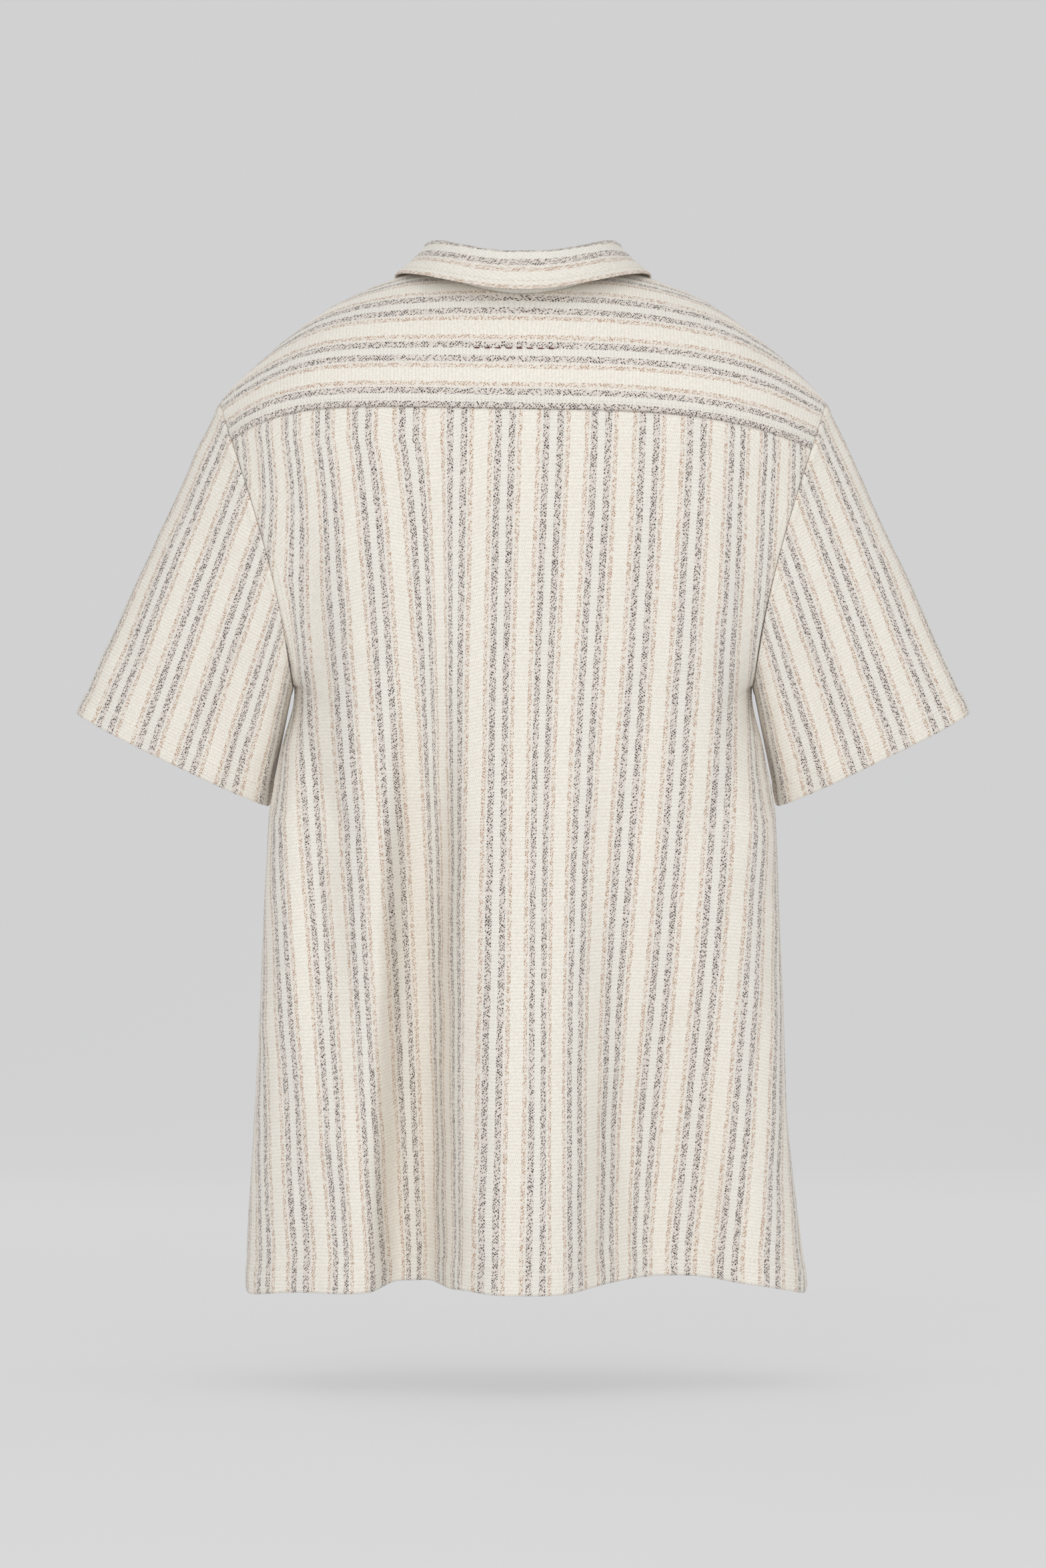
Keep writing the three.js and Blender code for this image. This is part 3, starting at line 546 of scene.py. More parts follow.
# The back is a grid of levels. A level is at its own share of the way from the yoke seam to the
# hem, its points are at x = across times the edge's x, and y is the panel's surface there.
def backPoints(rows, creased=True):
    across = np.sin(np.linspace(np.pi / 2, -np.pi / 2, fineSteps["back"]))[None, :]
    rows = np.asarray(rows, float)[:, None]
    left, right = (panelEdge(side, backCorner(side), 1, rows) for side in (1, -1))
    edge = np.where((across > 0)[..., None], left, right)
    topZ = np.where(across > 0, armholePoint(1, backCorner(1))[2], armholePoint(-1, backCorner(-1))[2])
    share = shareDown(edge[..., 2], topZ, rows, across)
    z = mix(yokeSeamZ(across), hemZ(across, 1), share)
    x = across * np.abs(edge[..., 0])
    y = panelY(1, x, z, edge, backFolds)
    if creased:
        y = y + creasePush(backCreases, x, z) * fadeAcross(across) * ease(rows)
    return np.stack([x, y, z], axis=-1)


# Cloth measure across the back: the distance from the middle dark pair, level along the cloth
# past flankX, and more by each fold's taken width times how far across that fold a point is.
def backAcross(grid):
    x, z = grid[..., 0], grid[..., 2]
    run = levelRun(grid)
    inside = np.abs(x) < backStripes["flankX"]
    first = np.argmax(inside, axis=1)[:, None]
    last = (inside.shape[1] - 1 - np.argmax(inside[:, ::-1], axis=1))[:, None]
    column = np.arange(grid.shape[1])[None, :]
    atFlank = np.take_along_axis(x + run, np.where(column < first, first, last), axis=1)
    level = np.where((column < first) | (column > last), atFlank - run, x)
    down = (z - backStripes["topZ"]) / (backStripes["lowZ"] - backStripes["topZ"])
    across = mix(backStripes["middleTop"], backStripes["middleLow"], down) - level
    for fold in rowsOf(gathers):
        side, start, ebb = fold["side"], fold["start"], fold["ebb"]
        grown = np.clip((z - start) / (fold["full"] - start), 0, 1) ** fold["power"]
        grown = grown * (1 - ease((z - ebb) / (fold["end"] - ebb)))
        centre = mix(fold["xYoke"], fold["xHem"], down)
        across -= side * fold["taken"] * grown * ease(side * (x - centre) / fold["width"] + 0.5)
    return across


def makeBack():
    grid = spreadRows(backPoints(bodyGridRows(back)), closeEnds(0, 1, back["columns"]))
    cloth = np.stack([backAcross(grid), riseAboveHem(grid)], axis=-1)
    top, bottom, left, right = edgeDistances(grid)
    sides = np.minimum(left, right)
    relief = seamRelief(sides) + hemRelief(bottom, left, back["hemDepth"], back["hemSeed"])
    relief += grooveAt(top)
    nearest = nearestEdge(bottom, top, sides)
    relief += clothUnevenness(cloth[..., 0], cloth[..., 1], nearest, back["clothSeed"])
    grid = grid - gridNormals(grid) * relief[..., None]
    piece = makeMesh("back_cloth", grid, gridFaces(*grid.shape[:2])[:, ::-1], cloth)
    giveThickness(piece, back["thickness"])
    return piece, {"grid": grid, "out": -gridNormals(grid), "left": left, "right": right, "bottom": bottom}


# Yoke.

yoke = {
    "columns": 190, "rows": 44, "thickness": 1.3,
    # How far up from the back seam the stripes' measure has come, in millimetres of each.
    "stripes": {"up": [0, 43, 81, 95, 117, 260], "measure": [-7, 36, 67, 77, 96, 236]},
    "unevenShare": 0.7, "clothSeed": 9, "sideEase": 4, "tipStart": 0.6, "frontStitch": 5.0,
    "flatM": (0.47, 0.21), "areaM2": 0.076,
}


# The yoke's columns start on the back seam, run over the shoulder's ridge and end on the neck
# or on the front yoke seam. Behind the ridge z is a quarter ellipse of y, before it a power of y.
def yokePoints(columns, rows):
    columns = np.asarray(columns, float)
    out = np.abs(columns - halfBack)
    side = np.where(columns <= halfBack, 1, -1)
    seam = spreadRows(backPoints([0.0], creased=False), columns / (2 * halfBack))[0]
    neckAngle = side * neck["frontCorner"] * np.minimum(1, out / cutRows["yokeNeck"])
    sidePart = (out - cutRows["yokeNeck"]) / cutRows["yokeSide"]
    seamEnd = np.stack([frontSeam(1, np.clip(sidePart, 0, 1)), frontSeam(-1, np.clip(sidePart, 0, 1))])
    seamEnd = np.where((side > 0)[:, None], seamEnd[0], seamEnd[1])
    end = np.where((sidePart <= 0)[:, None], neckPlan(neckAngle), seamEnd)
    part = ease(np.linspace(0, 1, fineSteps["yoke"]))[None, :]
    y = mix(seam[:, 1:2], end[:, 1:2], part)
    x = mix(seam[:, :1], end[:, :1], part**2)
    ridge = shoulderZ(x)
    backRound = 1 - np.sqrt(np.maximum(0, 1 - (y / seam[:, 1:2]) ** 2))
    frontRound = np.abs(y / seamEnd[:, 1:2]) ** yokeFront["slopePower"]
    z = np.where(y > 0, mix(ridge, seam[:, 2:3], backRound), mix(ridge, seamEnd[:, 2:3], frontRound))
    lines = np.stack([x, y, z], axis=-1)
    lengths = runLengths(lines)
    crosses = (y <= 0).any(axis=1)
    past = np.where(crosses, (y <= 0).argmax(axis=1), y.shape[1] - 1)
    reach = np.take_along_axis(lengths, past[:, None], axis=1) / lengths[:, -1:]
    reach = np.where(crosses[:, None], reach, 1.0)
    before = reach * rows / cutRows["yokeBack"]
    after = mix(reach, 1, (rows - cutRows["yokeBack"]) / cutRows["yokeFront"])
    even = rows / (cutRows["yokeBack"] + cutRows["yokeFront"])
    weight = ease(yoke["sideEase"] * sidePart)[:, None]
    grid = spreadRows(lines, mix(even, np.where(rows <= cutRows["yokeBack"], before, after), weight))
    backAngle = np.where(side > 0, backCorner(1), backCorner(-1))[:, None]
    tipAngle = mix(backAngle, 0, np.clip(rows / cutRows["yokeBack"], 0, 1))
    forward = np.clip((rows - cutRows["yokeBack"]) / cutRows["yokeFront"], 0, 1)
    tips = armholePoint(side[:, None], tipAngle - armhole["frontCorner"] * forward)
    lastColumns = np.where(side > 0, 0, len(columns) - 1)
    shift = tips - grid[lastColumns]
    near = (out / halfBack - yoke["tipStart"]) / (1 - yoke["tipStart"])
    return grid + shift * ease(near)[:, None, None]


def makeYoke():
    rows = closeEnds(0, cutRows["yokeBack"] + cutRows["yokeFront"], yoke["rows"])[None, :]
    grid = yokePoints(closeEnds(0, 2 * halfBack, yoke["columns"]), rows).transpose(1, 0, 2)
    bottom, top, left, right = edgeDistances(grid)
    along = np.broadcast_to(left[:1], left.shape)  # columns hardly fan, so the seam's measure holds
    cloth = np.stack([readTable(yoke["stripes"], "up", bottom, "measure"), along], axis=-1)
    sides = np.minimum(left, right)
    relief = seamRelief(bottom) + grooveAt(np.minimum(sides, top))
    inside = np.minimum(sides, np.minimum(bottom, top))
    relief += yoke["unevenShare"] * clothUnevenness(left, bottom, inside, yoke["clothSeed"])
    grid = grid + gridNormals(grid) * relief[..., None]
    piece = makeMesh("yoke_cloth", grid, gridFaces(*grid.shape[:2]), cloth)
    giveThickness(piece, yoke["thickness"])
    return piece, {"grid": grid, "out": gridNormals(grid), "bottom": bottom, "top": top}


# Fronts.

fronts = {
    "columns": 120, "rowsAbove": 64, "rowsBelow": 130, "thickness": 1.3, "hemDepth": 20,
    "hemSeed": 33, "clothSeed": 40, "flatM": (0.28, 0.71), "areaM2": 0.168,
}
frontOpening = {"overlap": 15, "underOffset": 2.3, "offsetStart": 22, "offsetLength": 24}
frontBand = {
    "width": 30, "stitchInside": 3, "layer": 0.5, "press": 0.3, "pressWidth": 0.9, "creaseStart": 30,
}


# The right front lies under the left one near the middle: it is set back by up to underOffset.
def lapOffset(side, x):
    under = frontOpening["underOffset"] if side < 0 else 0
    past = frontOpening["offsetStart"] + frontOpening["offsetLength"] - x
    return under * ease(past / frontOpening["offsetLength"])


# The front's top edge: along the neck from the front edge, then along the front yoke seam.
def frontTop(side, columns):
    columns = np.asarray(columns, float)
    edgeAngle = np.pi + math.asin(frontOpening["overlap"] / neck["halfWidth"])
    angle = mix(edgeAngle, neck["frontCorner"], np.clip(columns / cutRows["frontNeck"], 0, 1))
    plan = neckPlan(angle)
    neckY = plan[:, 1] + lapOffset(side, plan[:, 0])
    onNeck = np.stack([side * plan[:, 0], neckY, neckFrontZ(angle)], axis=-1)
    part = (columns - cutRows["frontNeck"]) / cutRows["yokeSide"]
    onSeam = frontSeam(side, np.clip(part, 0, 1))
    return np.where((part < 0)[:, None], onNeck, onSeam)


# A front's levels go from its own edge past the middle out to the armhole and the side seam,
# each at its share of the way from the top edge to the hem.
def frontPoints(side, rows, shares):
    top = frontTop(side, np.linspace(0, cutRows["frontNeck"] + cutRows["yokeSide"], fineSteps["front"]))
    topX = side * top[:, 0]
    rows = np.asarray(rows, float)[:, None]
    edge = panelEdge(side, armhole["frontCorner"], -1, rows)
    topZ = armholePoint(side, armhole["frontCorner"])[2]
    turn = np.linspace(0, np.pi / 2, fineSteps["front"])[None, :]
    x = mix(-frontOpening["overlap"], np.abs(edge[..., 0]), np.sin(turn))
    across = np.clip(x / np.abs(edge[..., 0]), 0, 1)
    topLine = np.interp(x * topX[-1] / np.abs(edge[..., 0]), topX, top[:, 2])
    z = mix(topLine, hemZ(across, -1), shareDown(edge[..., 2], topZ, rows, across))
    y = panelY(-1, side * x, z, edge, frontFolds) + lapOffset(side, x)
    crease = creasePush(frontCreases, side * x, z) * fadeAcross(across)
    y = y - crease * ease(x / frontBand["creaseStart"])
    lines = np.stack([side * x, y, z], axis=-1)
    levels = spreadRows(lines, shares)
    start = spreadRows(top[None], shares)
    return levels + (start - levels[:1]) * (1 - ease(rows))[..., None]


def makeFront(side, name):
    grid = frontPoints(side, bodyGridRows(fronts), closeEnds(0, 1, fronts["columns"]))
    top, bottom, fromEdge, fromSide = edgeDistances(grid)
    run, up = levelRun(grid), riseAboveHem(grid)
    cloth = np.stack([run - frontOpening["overlap"], up], axis=-1)
    relief = seamRelief(fromSide) + hemRelief(bottom, fromEdge, fronts["hemDepth"], fronts["hemSeed"])
    relief += grooveAt(top)
    relief += frontBand["layer"] * stepDown(fromEdge, frontBand["width"])
    for place in (frontBand["width"] - frontBand["stitchInside"], frontBand["stitchInside"]):
        relief -= frontBand["press"] * bell(fromEdge - place, frontBand["pressWidth"])
    nearest = nearestEdge(bottom, top, fromEdge, fromSide)
    relief += clothUnevenness(run, up, nearest, fronts["clothSeed"] + side)
    grid = grid - side * gridNormals(grid) * relief[..., None]
    faces = gridFaces(*grid.shape[:2])
    piece = makeMesh(name, grid, faces[:, ::-1] if side > 0 else faces, cloth)
    giveThickness(piece, fronts["thickness"])
    return piece, {"grid": grid, "out": -side * gridNormals(grid), "edge": fromEdge, "bottom": bottom}


# Sleeves.

sleeves = {
    "columns": 176, "rows": 92, "thickness": 1.3, "hemDepth": 16, "hemSeed": 55, "clothSeed": 60,
    "stripeBack": 7.0, "creaseStart": 0.12, "frontShare": -0.8, "flatM": (0.46, 0.26), "areaM2": 0.073,
}
cuff = {
    "innerX": 184.5, "innerZ": -388, "outerX": 324, "outerZ": -320, "y": -20, "halfDepth": 35,
    "power": 2.4,
}
sleeveFolds = {
    "along": [0.55, 0.62], "around": [-1.75, 1.95], "length": [0.3, 0.3],
    "width": [0.34, 0.3], "depth": [-7, -5],
}


# A sleeve's rings are blended from the armhole to the cuff: a point at an angle of the armhole
# goes straight to the cuff's point at that angle, then dents and creases push it in or out.
def sleevePoints(side, rows, angles):
    along = np.asarray(rows, float)[:, None]
    angle = np.asarray(angles, float)[None, :]
    outer = np.array([side * cuff["outerX"], cuff["y"], cuff["outerZ"]], float)
    inner = np.array([side * cuff["innerX"], cuff["y"], cuff["innerZ"]], float)
    centre = (outer + inner) / 2
    out = signedPower(np.cos(angle), 2 / cuff["power"])[..., None] * (outer - centre)
    deep = cuff["halfDepth"] * signedPower(np.sin(angle), 2 / cuff["power"])
    ring = centre + out + np.stack([0 * deep, deep, 0 * deep], axis=-1)
    grid = mix(armholePoint(side, angle), ring, along[..., None])
    push = np.zeros(grid.shape[:2])
    for fold in rowsOf(sleeveFolds):
        far = ((along - fold["along"]) / fold["length"]) ** 2
        far = far + ((angle - fold["around"]) / fold["width"]) ** 2
        push += fold["depth"] * np.exp(-far)
    free = ease(along / sleeves["creaseStart"]) * np.where(np.sin(angle) > 0, 1, sleeves["frontShare"])
    crease = creasePush(sleeveCreases, side * grid[..., 0], grid[..., 2])
    grid[..., 1] += np.abs(np.sin(angle)) * (np.sign(angle) * push + free * crease)
    return grid


# Around the sleeve the cloth's measure leaves out the way along the sleeve, so that the stripes
# stay parallel to its outer line. It is 0 at that line, plus at the back, and breaks at the
# underarm seam, where the columns start.
def makeSleeve(side, name):
    count = sleeves["columns"]
    rows = closeEnds(0, 1, sleeves["rows"], rowTight["sleeve"])
    grid = sleevePoints(side, rows, np.linspace(-np.pi, np.pi, count, endpoint=False))
    closed = np.concatenate([grid, grid[:, :1]], axis=1)
    axis = np.array([cuff["outerX"] - armhole["tipX"], 0, cuff["outerZ"] - armhole["tipZ"]], float)
    axis = axis / np.linalg.norm(axis) * np.array([side, 1, 1])
    step = np.diff(closed, axis=1)
    level = np.sqrt(np.maximum(0, (step**2).sum(axis=2) - (step @ axis) ** 2))
    run = np.concatenate([np.zeros((len(grid), 1)), np.cumsum(level, axis=1)], axis=1)
    around = run - run[:, count // 2 : count // 2 + 1]
    fromTop = runLengths(closed.transpose(1, 0, 2)).T
    fromEnd = fromTop[-1:] - fromTop
    relief = seamRelief(fromTop) + hemRelief(fromEnd, run, sleeves["hemDepth"], sleeves["hemSeed"])
    nearest = nearestEdge(fromEnd, fromTop, run, run[:, -1:] - run)
    relief += clothUnevenness(around, fromEnd, nearest, sleeves["clothSeed"] + side)
    grid = grid - side * gridNormals(grid, ring=True) * relief[:, :-1, None]
    faces = gridFaces(*grid.shape[:2], ring=True)
    row, column = np.divmod(np.arange(len(faces)), count)
    cloth = np.stack([around - sleeves["stripeBack"], fromEnd], axis=-1)
    corners = [cloth[row + down, column + over] for down, over in ((0, 0), (0, 1), (1, 1), (1, 0))]
    corners = np.stack(corners, axis=1)
    if side > 0:
        faces, corners = faces[:, ::-1], corners[:, ::-1]
    piece = makeMesh(name, grid, faces, cornerCloth=corners.reshape(-1, 2))
    giveThickness(piece, sleeves["thickness"])
    out = -side * gridNormals(grid, ring=True)
    return piece, {"grid": grid, "out": out, "top": fromTop[:, :-1], "bottom": fromEnd[:, :-1]}


# Collar.

collar = {
    "columns": 230, "standRows": 14, "foldRows": 12, "leafRows": 34, "thickness": 1.6, "stripeAt": -9.2,
    "stitchAt": 6.0, "press": 0.3, "pressWidth": 0.9, "leafReach": 40, "roll": 0.7, "rollWidth": 0.8,
    "uneven": 0.5, "unevenSize": 46, "clothSeed": 71, "edgeFade": 10, "neckFade": 26,
    "flatM": (0.48, 0.10), "areaM2": 0.033,
}
collarCut = {"foldRadius": 2.6, "seat": 0.7, "openAngle": 3.11, "leafPower": 1.2}
collarTuck = {"inward": [1.9, 1.7], "down": [3.0, 0.3]}  # the seam's turning, inside the neck edge
collarRows = {
    "angle": [0, 0.8, 1.57, 2.2, 2.7, 3.11],
    "foldOut": [3, -2, -7, -4, 0, 3],
    "foldUp": [29, 25, 18, 22, 24, 24],
    "edgeOut": [15, 18, 20, 27, 26, 17],
    "edgeUp": [2, 1, -3.5, -8, -23, -32],
    "edgeBack": [0, 0, 0, 4, 18, 36],
}


# Height of the neck seam: on the yoke behind and on the fronts before the shoulder.
def seamHeight(angle):
    plan = neckPlan(angle)
    frontY = neckPlan(neck["frontCorner"])[1]
    forward = np.abs(plan[:, 1] / frontY) ** yokeFront["slopePower"]
    before = mix(shoulderZ(plan[:, 0]), neckFrontZ(neck["frontCorner"]), forward)
    seamY = readTable(bodyDepths, "z", yokeSeam["centreZ"], "back")
    behind = mix(shoulderZ(plan[:, 0]), yokeSeam["centreZ"], 1 - np.sqrt(1 - (plan[:, 1] / seamY) ** 2))
    onYoke = np.where(plan[:, 1] < 0, before, behind)
    return np.where(np.abs(angle) > neck["frontCorner"], neckFrontZ(angle), onYoke)


# The collar starts in a short turning inside the neck edge, goes straight up its stand, half round
# the fold and down the leaf, whose distance out is a power of the way down. The sizes are read from
# the table at each angle of the neck.
def collarPoints(angles):
    size = {name: readTable(collarRows, "angle", np.abs(angles), name)[None, :] for name in collarRows}
    base = neckPlan(angles)
    base[:, 2] = seamHeight(angles) + collarCut["seat"]
    out = np.stack([np.sin(angles) / neck["halfWidth"], np.cos(angles) / neck["halfDepth"]], axis=-1)
    out = out / np.linalg.norm(out, axis=1, keepdims=True)
    side = np.where(angles < 0, -1, 1)[:, None]
    backward = np.stack([-out[:, 1], out[:, 0]], axis=-1) * side
    radius = collarCut["foldRadius"]
    stand = np.linspace(0, 1, collar["standRows"], endpoint=False)[:, None]
    turn = np.linspace(0, np.pi, collar["foldRows"], endpoint=False)[:, None]
    leaf = closeEnds(0, 1, collar["leafRows"])[:, None]
    level = np.ones(len(angles))
    outward = np.concatenate([
        -np.array(collarTuck["inward"])[:, None] * level,
        size["foldOut"] * stand,
        size["foldOut"] + radius * (1 - np.cos(turn)),
        mix(size["foldOut"] + 2 * radius, size["edgeOut"], leaf ** collarCut["leafPower"]),
    ])
    upward = np.concatenate([
        -np.array(collarTuck["down"])[:, None] * level,
        (size["foldUp"] - radius) * stand,
        size["foldUp"] - radius + radius * np.sin(turn),
        mix(size["foldUp"] - radius, size["edgeUp"], leaf),
    ])
    straight = np.zeros((len(outward) - len(leaf), len(angles)))
    drawnBack = np.concatenate([straight, size["edgeBack"] * leaf])
    plan = base[None, :, :2] + outward[..., None] * out[None] + drawnBack[..., None] * backward[None]
    return np.concatenate([plan, (base[None, :, 2] + upward)[..., None]], axis=-1)


def makeCollar():
    openAngle = collarCut["openAngle"]
    angles = closeEnds(openAngle, -openAngle, collar["columns"], rowTight["collar"])
    grid = collarPoints(angles)
    fromNeck, fromEdge, left, right = edgeDistances(grid)
    ends = np.minimum(left, right)
    cloth = np.stack([fromEdge - collar["stripeAt"], left], axis=-1)
    press = bell(fromEdge - collar["stitchAt"], collar["pressWidth"])
    endPress = bell(ends - collar["stitchAt"], collar["pressWidth"]) * (fromEdge < collar["leafReach"])
    roll = collar["roll"] * np.exp(-np.minimum(fromEdge, ends) / collar["rollWidth"])
    relief = -collar["press"] * np.maximum(press, endPress) - roll
    fade = ease(fromEdge / collar["edgeFade"]) * ease(fromNeck / collar["neckFade"])
    relief += collar["uneven"] * softNoise(left, fromEdge, collar["unevenSize"], collar["clothSeed"]) * fade
    grid = grid - gridNormals(grid) * relief[..., None]
    piece = makeMesh("collar_cloth", grid, gridFaces(*grid.shape[:2])[:, ::-1], cloth)
    giveThickness(piece, collar["thickness"])
    return piece, {"grid": grid, "out": -gridNormals(grid), "bottom": fromEdge}


# Buttons and buttonholes.

buttons = {
    "count": 6, "radius": 5.5, "thickness": 2.3, "rim": 1.1, "dish": 0.22, "holeRadius": 0.62,
    "holeAt": 1.35, "holeDepth": 1.2, "firstZ": -97, "spacing": 100, "lift": 0.55, "round": 48,
    "edgeRound": 0.8, "edgeHeight": 0.9, "rimHeight": 0.55, "faceRings": 34, "innerEdge": 0.02,
    "innerFace": 0.004,
}
buttonThread = {
    "radius": 0.32, "sides": 8, "below": 0.75, "rise": 0.5, "sink": 0.6, "over": 0.42, "beside": 0.3,
}
buttonhole = {
    "innerWidth": 0.35, "outerWidth": 1.7, "halfLength": 5.6, "roundness": 0.8, "height": 0.45, "lift": 0.6,
}


# Where a button sits on the left front: its middle, and its own right, up and outward directions.
def buttonPlace(k):
    z = buttons["firstZ"] - buttons["spacing"] * k
    heights = np.array([z + buttons["radius"], z, z - buttons["radius"]])
    surface = np.stack([0 * heights, bodyY(-1, 0 * heights, heights), heights], axis=-1)
    down = surface[2] - surface[0]
    outward = np.cross([-1.0, 0.0, 0.0], down)
    outward = outward / np.linalg.norm(outward)
    right = np.array([1.0, 0.0, 0.0])
    up = np.cross(outward, right) * np.sign(np.cross(outward, right)[2])
    return surface[1] + outward * buttons["lift"], right, up, outward


# A button is a profile turned about its middle, with a raised rim and a dished face. Near each
# of its four holes the face sinks by exp(-(distance / radius) ^ 4).
def buttonPoints():
    radius, half, rounding = buttons["radius"], buttons["rim"] / 2, buttons["edgeRound"]
    rimBase = buttons["thickness"] - buttons["rimHeight"]
    bend = np.linspace(0, np.pi, 13)
    under = np.linspace(buttons["innerEdge"], radius - rounding, 8)
    low = np.stack([under, 0 * under], axis=-1)
    sideOut = radius - rounding + rounding * np.sin(bend / 2)
    side = np.stack([sideOut, buttons["edgeHeight"] * (1 - np.cos(bend / 2))], axis=-1)
    crownUp = rimBase + buttons["rimHeight"] * np.sin(bend)
    crown = np.stack([radius - half + half * np.cos(bend), crownUp], axis=-1)
    face = np.linspace(1, buttons["innerFace"], buttons["faceRings"])
    top = np.stack([(radius - buttons["rim"]) * face, rimBase - buttons["dish"] * (1 - face**2)], axis=-1)
    profile = np.concatenate([low, side, crown, top[1:]])
    turn = np.linspace(0, 2 * np.pi, buttons["round"], endpoint=False)[None, :]
    a, b = profile[:, :1] * np.cos(turn), profile[:, :1] * np.sin(turn)
    height = np.repeat(profile[:, 1:2], buttons["round"], axis=1)
    onFace = np.arange(len(profile))[:, None] >= len(profile) - buttons["faceRings"] + 1
    for sideA in (-1, 1):
        for sideB in (-1, 1):
            away = np.hypot(a - sideA * buttons["holeAt"], b - sideB * buttons["holeAt"])
            height -= onFace * buttons["holeDepth"] * np.exp(-((away / buttons["holeRadius"]) ** 4))
    return np.stack([a, b, height], axis=-1)


def makeButton(k):
    middle, right, up, outward = buttonPlace(k)
    points = buttonPoints()
    rows, columns = points.shape[:2]
    ends = np.stack([points[0].mean(axis=0), points[-1].mean(axis=0)])
    flat = np.concatenate([points.reshape(-1, 3), ends])
    placed = middle + flat[:, :1] * right + flat[:, 1:2] * up + flat[:, 2:] * outward
    ring = np.arange(columns)
    after = (ring + 1) % columns
    count = rows * columns
    caps = [[count, a, b] for a, b in zip(after, ring)]
    last = (rows - 1) * columns
    caps += [[count + 1, last + a, last + b] for a, b in zip(ring, after)]
    return makeMesh(f"button_{k + 1}_resin", placed, gridFaces(rows, columns, ring=True).tolist() + caps)


# Tubes of a few sides along short paths: each ring lies square to the path's direction at it, and
# narrows toward the path's ends.
tubeEnd = {"narrow": 0.12, "power": 6}


def makeTubes(name, paths, strand):
    paths = np.asarray(paths, float)
    sides = strand["sides"]
    count, steps = paths.shape[:2]
    way = np.gradient(paths, axis=1)
    way = way / np.linalg.norm(way, axis=2, keepdims=True)
    helper = np.where(np.abs(way[..., 2:]) < 0.8, [0.0, 0.0, 1.0], [0.0, 1.0, 0.0])
    first = np.cross(way, helper)
    first = first / np.linalg.norm(first, axis=2, keepdims=True)
    second = np.cross(way, first)
    turn = np.linspace(0, 2 * np.pi, sides, endpoint=False)
    taper = np.maximum(tubeEnd["narrow"], 1 - np.linspace(-1, 1, steps) ** tubeEnd["power"])
    taper = np.sqrt(taper)[None, :, None, None]
    ring = np.cos(turn)[:, None] * first[:, :, None] + np.sin(turn)[:, None] * second[:, :, None]
    points = paths[:, :, None] + strand["radius"] * taper * ring
    one = gridFaces(steps, sides, ring=True)
    start = (np.arange(count) * steps * sides)[:, None]
    faces = (one[None] + start[:, :, None]).reshape(-1, 4)
    caps = np.concatenate([start + np.arange(sides)[::-1], start + (steps - 1) * sides + np.arange(sides)])
    return makeMesh(name, points, faces[:, ::-1].tolist() + caps[:, ::-1].tolist())


# Two crossed bars of thread in each button, sunk into its holes at both ends.
def makeButtonThread(k):
    middle, right, up, outward = buttonPlace(k)
    t = np.linspace(-1, 1, 9)[:, None]
    reach = buttons["holeAt"] * t
    height = buttons["thickness"] - buttonThread["below"]
    height = height + buttonThread["rise"] * (1 - t**4) - buttonThread["sink"] * t**8
    paths = []
    for turn, rise in ((1, 0.0), (-1, buttonThread["over"])):
        for beside in (-buttonThread["beside"], buttonThread["beside"]):
            a, b = reach + beside * turn, turn * reach - beside
            paths.append(middle + a * right + b * up + (height + rise) * outward)
    return makeTubes(f"button_{k + 1}_thread", paths, buttonThread)


# A buttonhole's stitched edge: close bars of thread set round a long narrow oval.
def makeButtonhole(k):
    middle, right, up, outward = buttonPlace(k)
    turn = np.linspace(0, 2 * np.pi, 64, endpoint=False)[:, None, None]
    across = np.linspace(0, 1, 5)[None, :, None]
    width = mix(buttonhole["innerWidth"], buttonhole["outerWidth"], across)
    a = width * np.cos(turn)
    b = (buttonhole["halfLength"] + width) * signedPower(np.sin(turn), buttonhole["roundness"])
    height = buttonhole["height"] * np.sin(np.pi * across) + buttonhole["lift"] - buttons["lift"]
    grid = (middle + a * right + b * up + height * outward).transpose(1, 0, 2)
    return makeMesh(f"buttonhole_{k + 1}", grid, gridFaces(*grid.shape[:2], ring=True))


# Stitching.

thread = {"radius": 0.24, "sides": 5, "length": 2.6, "gap": 0.9, "sink": 0.06, "start": 2.0}
# One short straight row of plain running stitches in dark red, in the middle of the yoke.
accentRow = {
    "above": 43, "from": 35, "to": -27, "radius": 0.5, "sides": 6, "length": 5.0, "gap": 2.4,
    "sink": 0.08, "start": 0.0,
}


# Stitches along a line of points on the cloth: each is a short tube that rises from the cloth,
# lies along it and goes back in, set at even steps of the line's length.
def stitchPaths(line, normals, sewing=thread):
    lengths = runLengths(line[None])[0]
    pitch = sewing["length"] + sewing["gap"]
    count = int((lengths[-1] - 2 * sewing["start"]) / pitch)
    begin = sewing["start"] + pitch * np.arange(count)[:, None]
    steps = np.linspace(0, 1, 5)[None, :]
    at = begin + sewing["length"] * steps
    place = np.stack([np.interp(at, lengths, line[:, k]) for k in range(3)], axis=-1)
    facing = np.stack([np.interp(at, lengths, normals[:, k]) for k in range(3)], axis=-1)
    lift = sewing["radius"] * (1.5 * np.sin(np.pi * steps) ** 0.5 - 0.6) - sewing["sink"]
    return place + facing * lift[..., None]


# The line over a grid at a given distance from one of its edges, with the surface's directions.
def lineAt(grid, normals, distance, wanted, axis):
    if axis == 1:
        grid, normals, distance = (part.swapaxes(0, 1) for part in (grid, normals, distance))
    if distance[-1].mean() <= distance[0].mean():
        grid, normals, distance = grid[::-1], normals[::-1], distance[::-1]
    row = np.clip((distance < wanted).sum(axis=0), 1, len(distance) - 1)
    column = np.arange(distance.shape[1])
    low, high = distance[row - 1, column], distance[row, column]
    t = np.clip((wanted - low) / np.maximum(high - low, 1e-6), 0, 1)[:, None]
    line = mix(grid[row - 1, column], grid[row, column], t)
    return line, mix(normals[row - 1, column], normals[row, column], t)


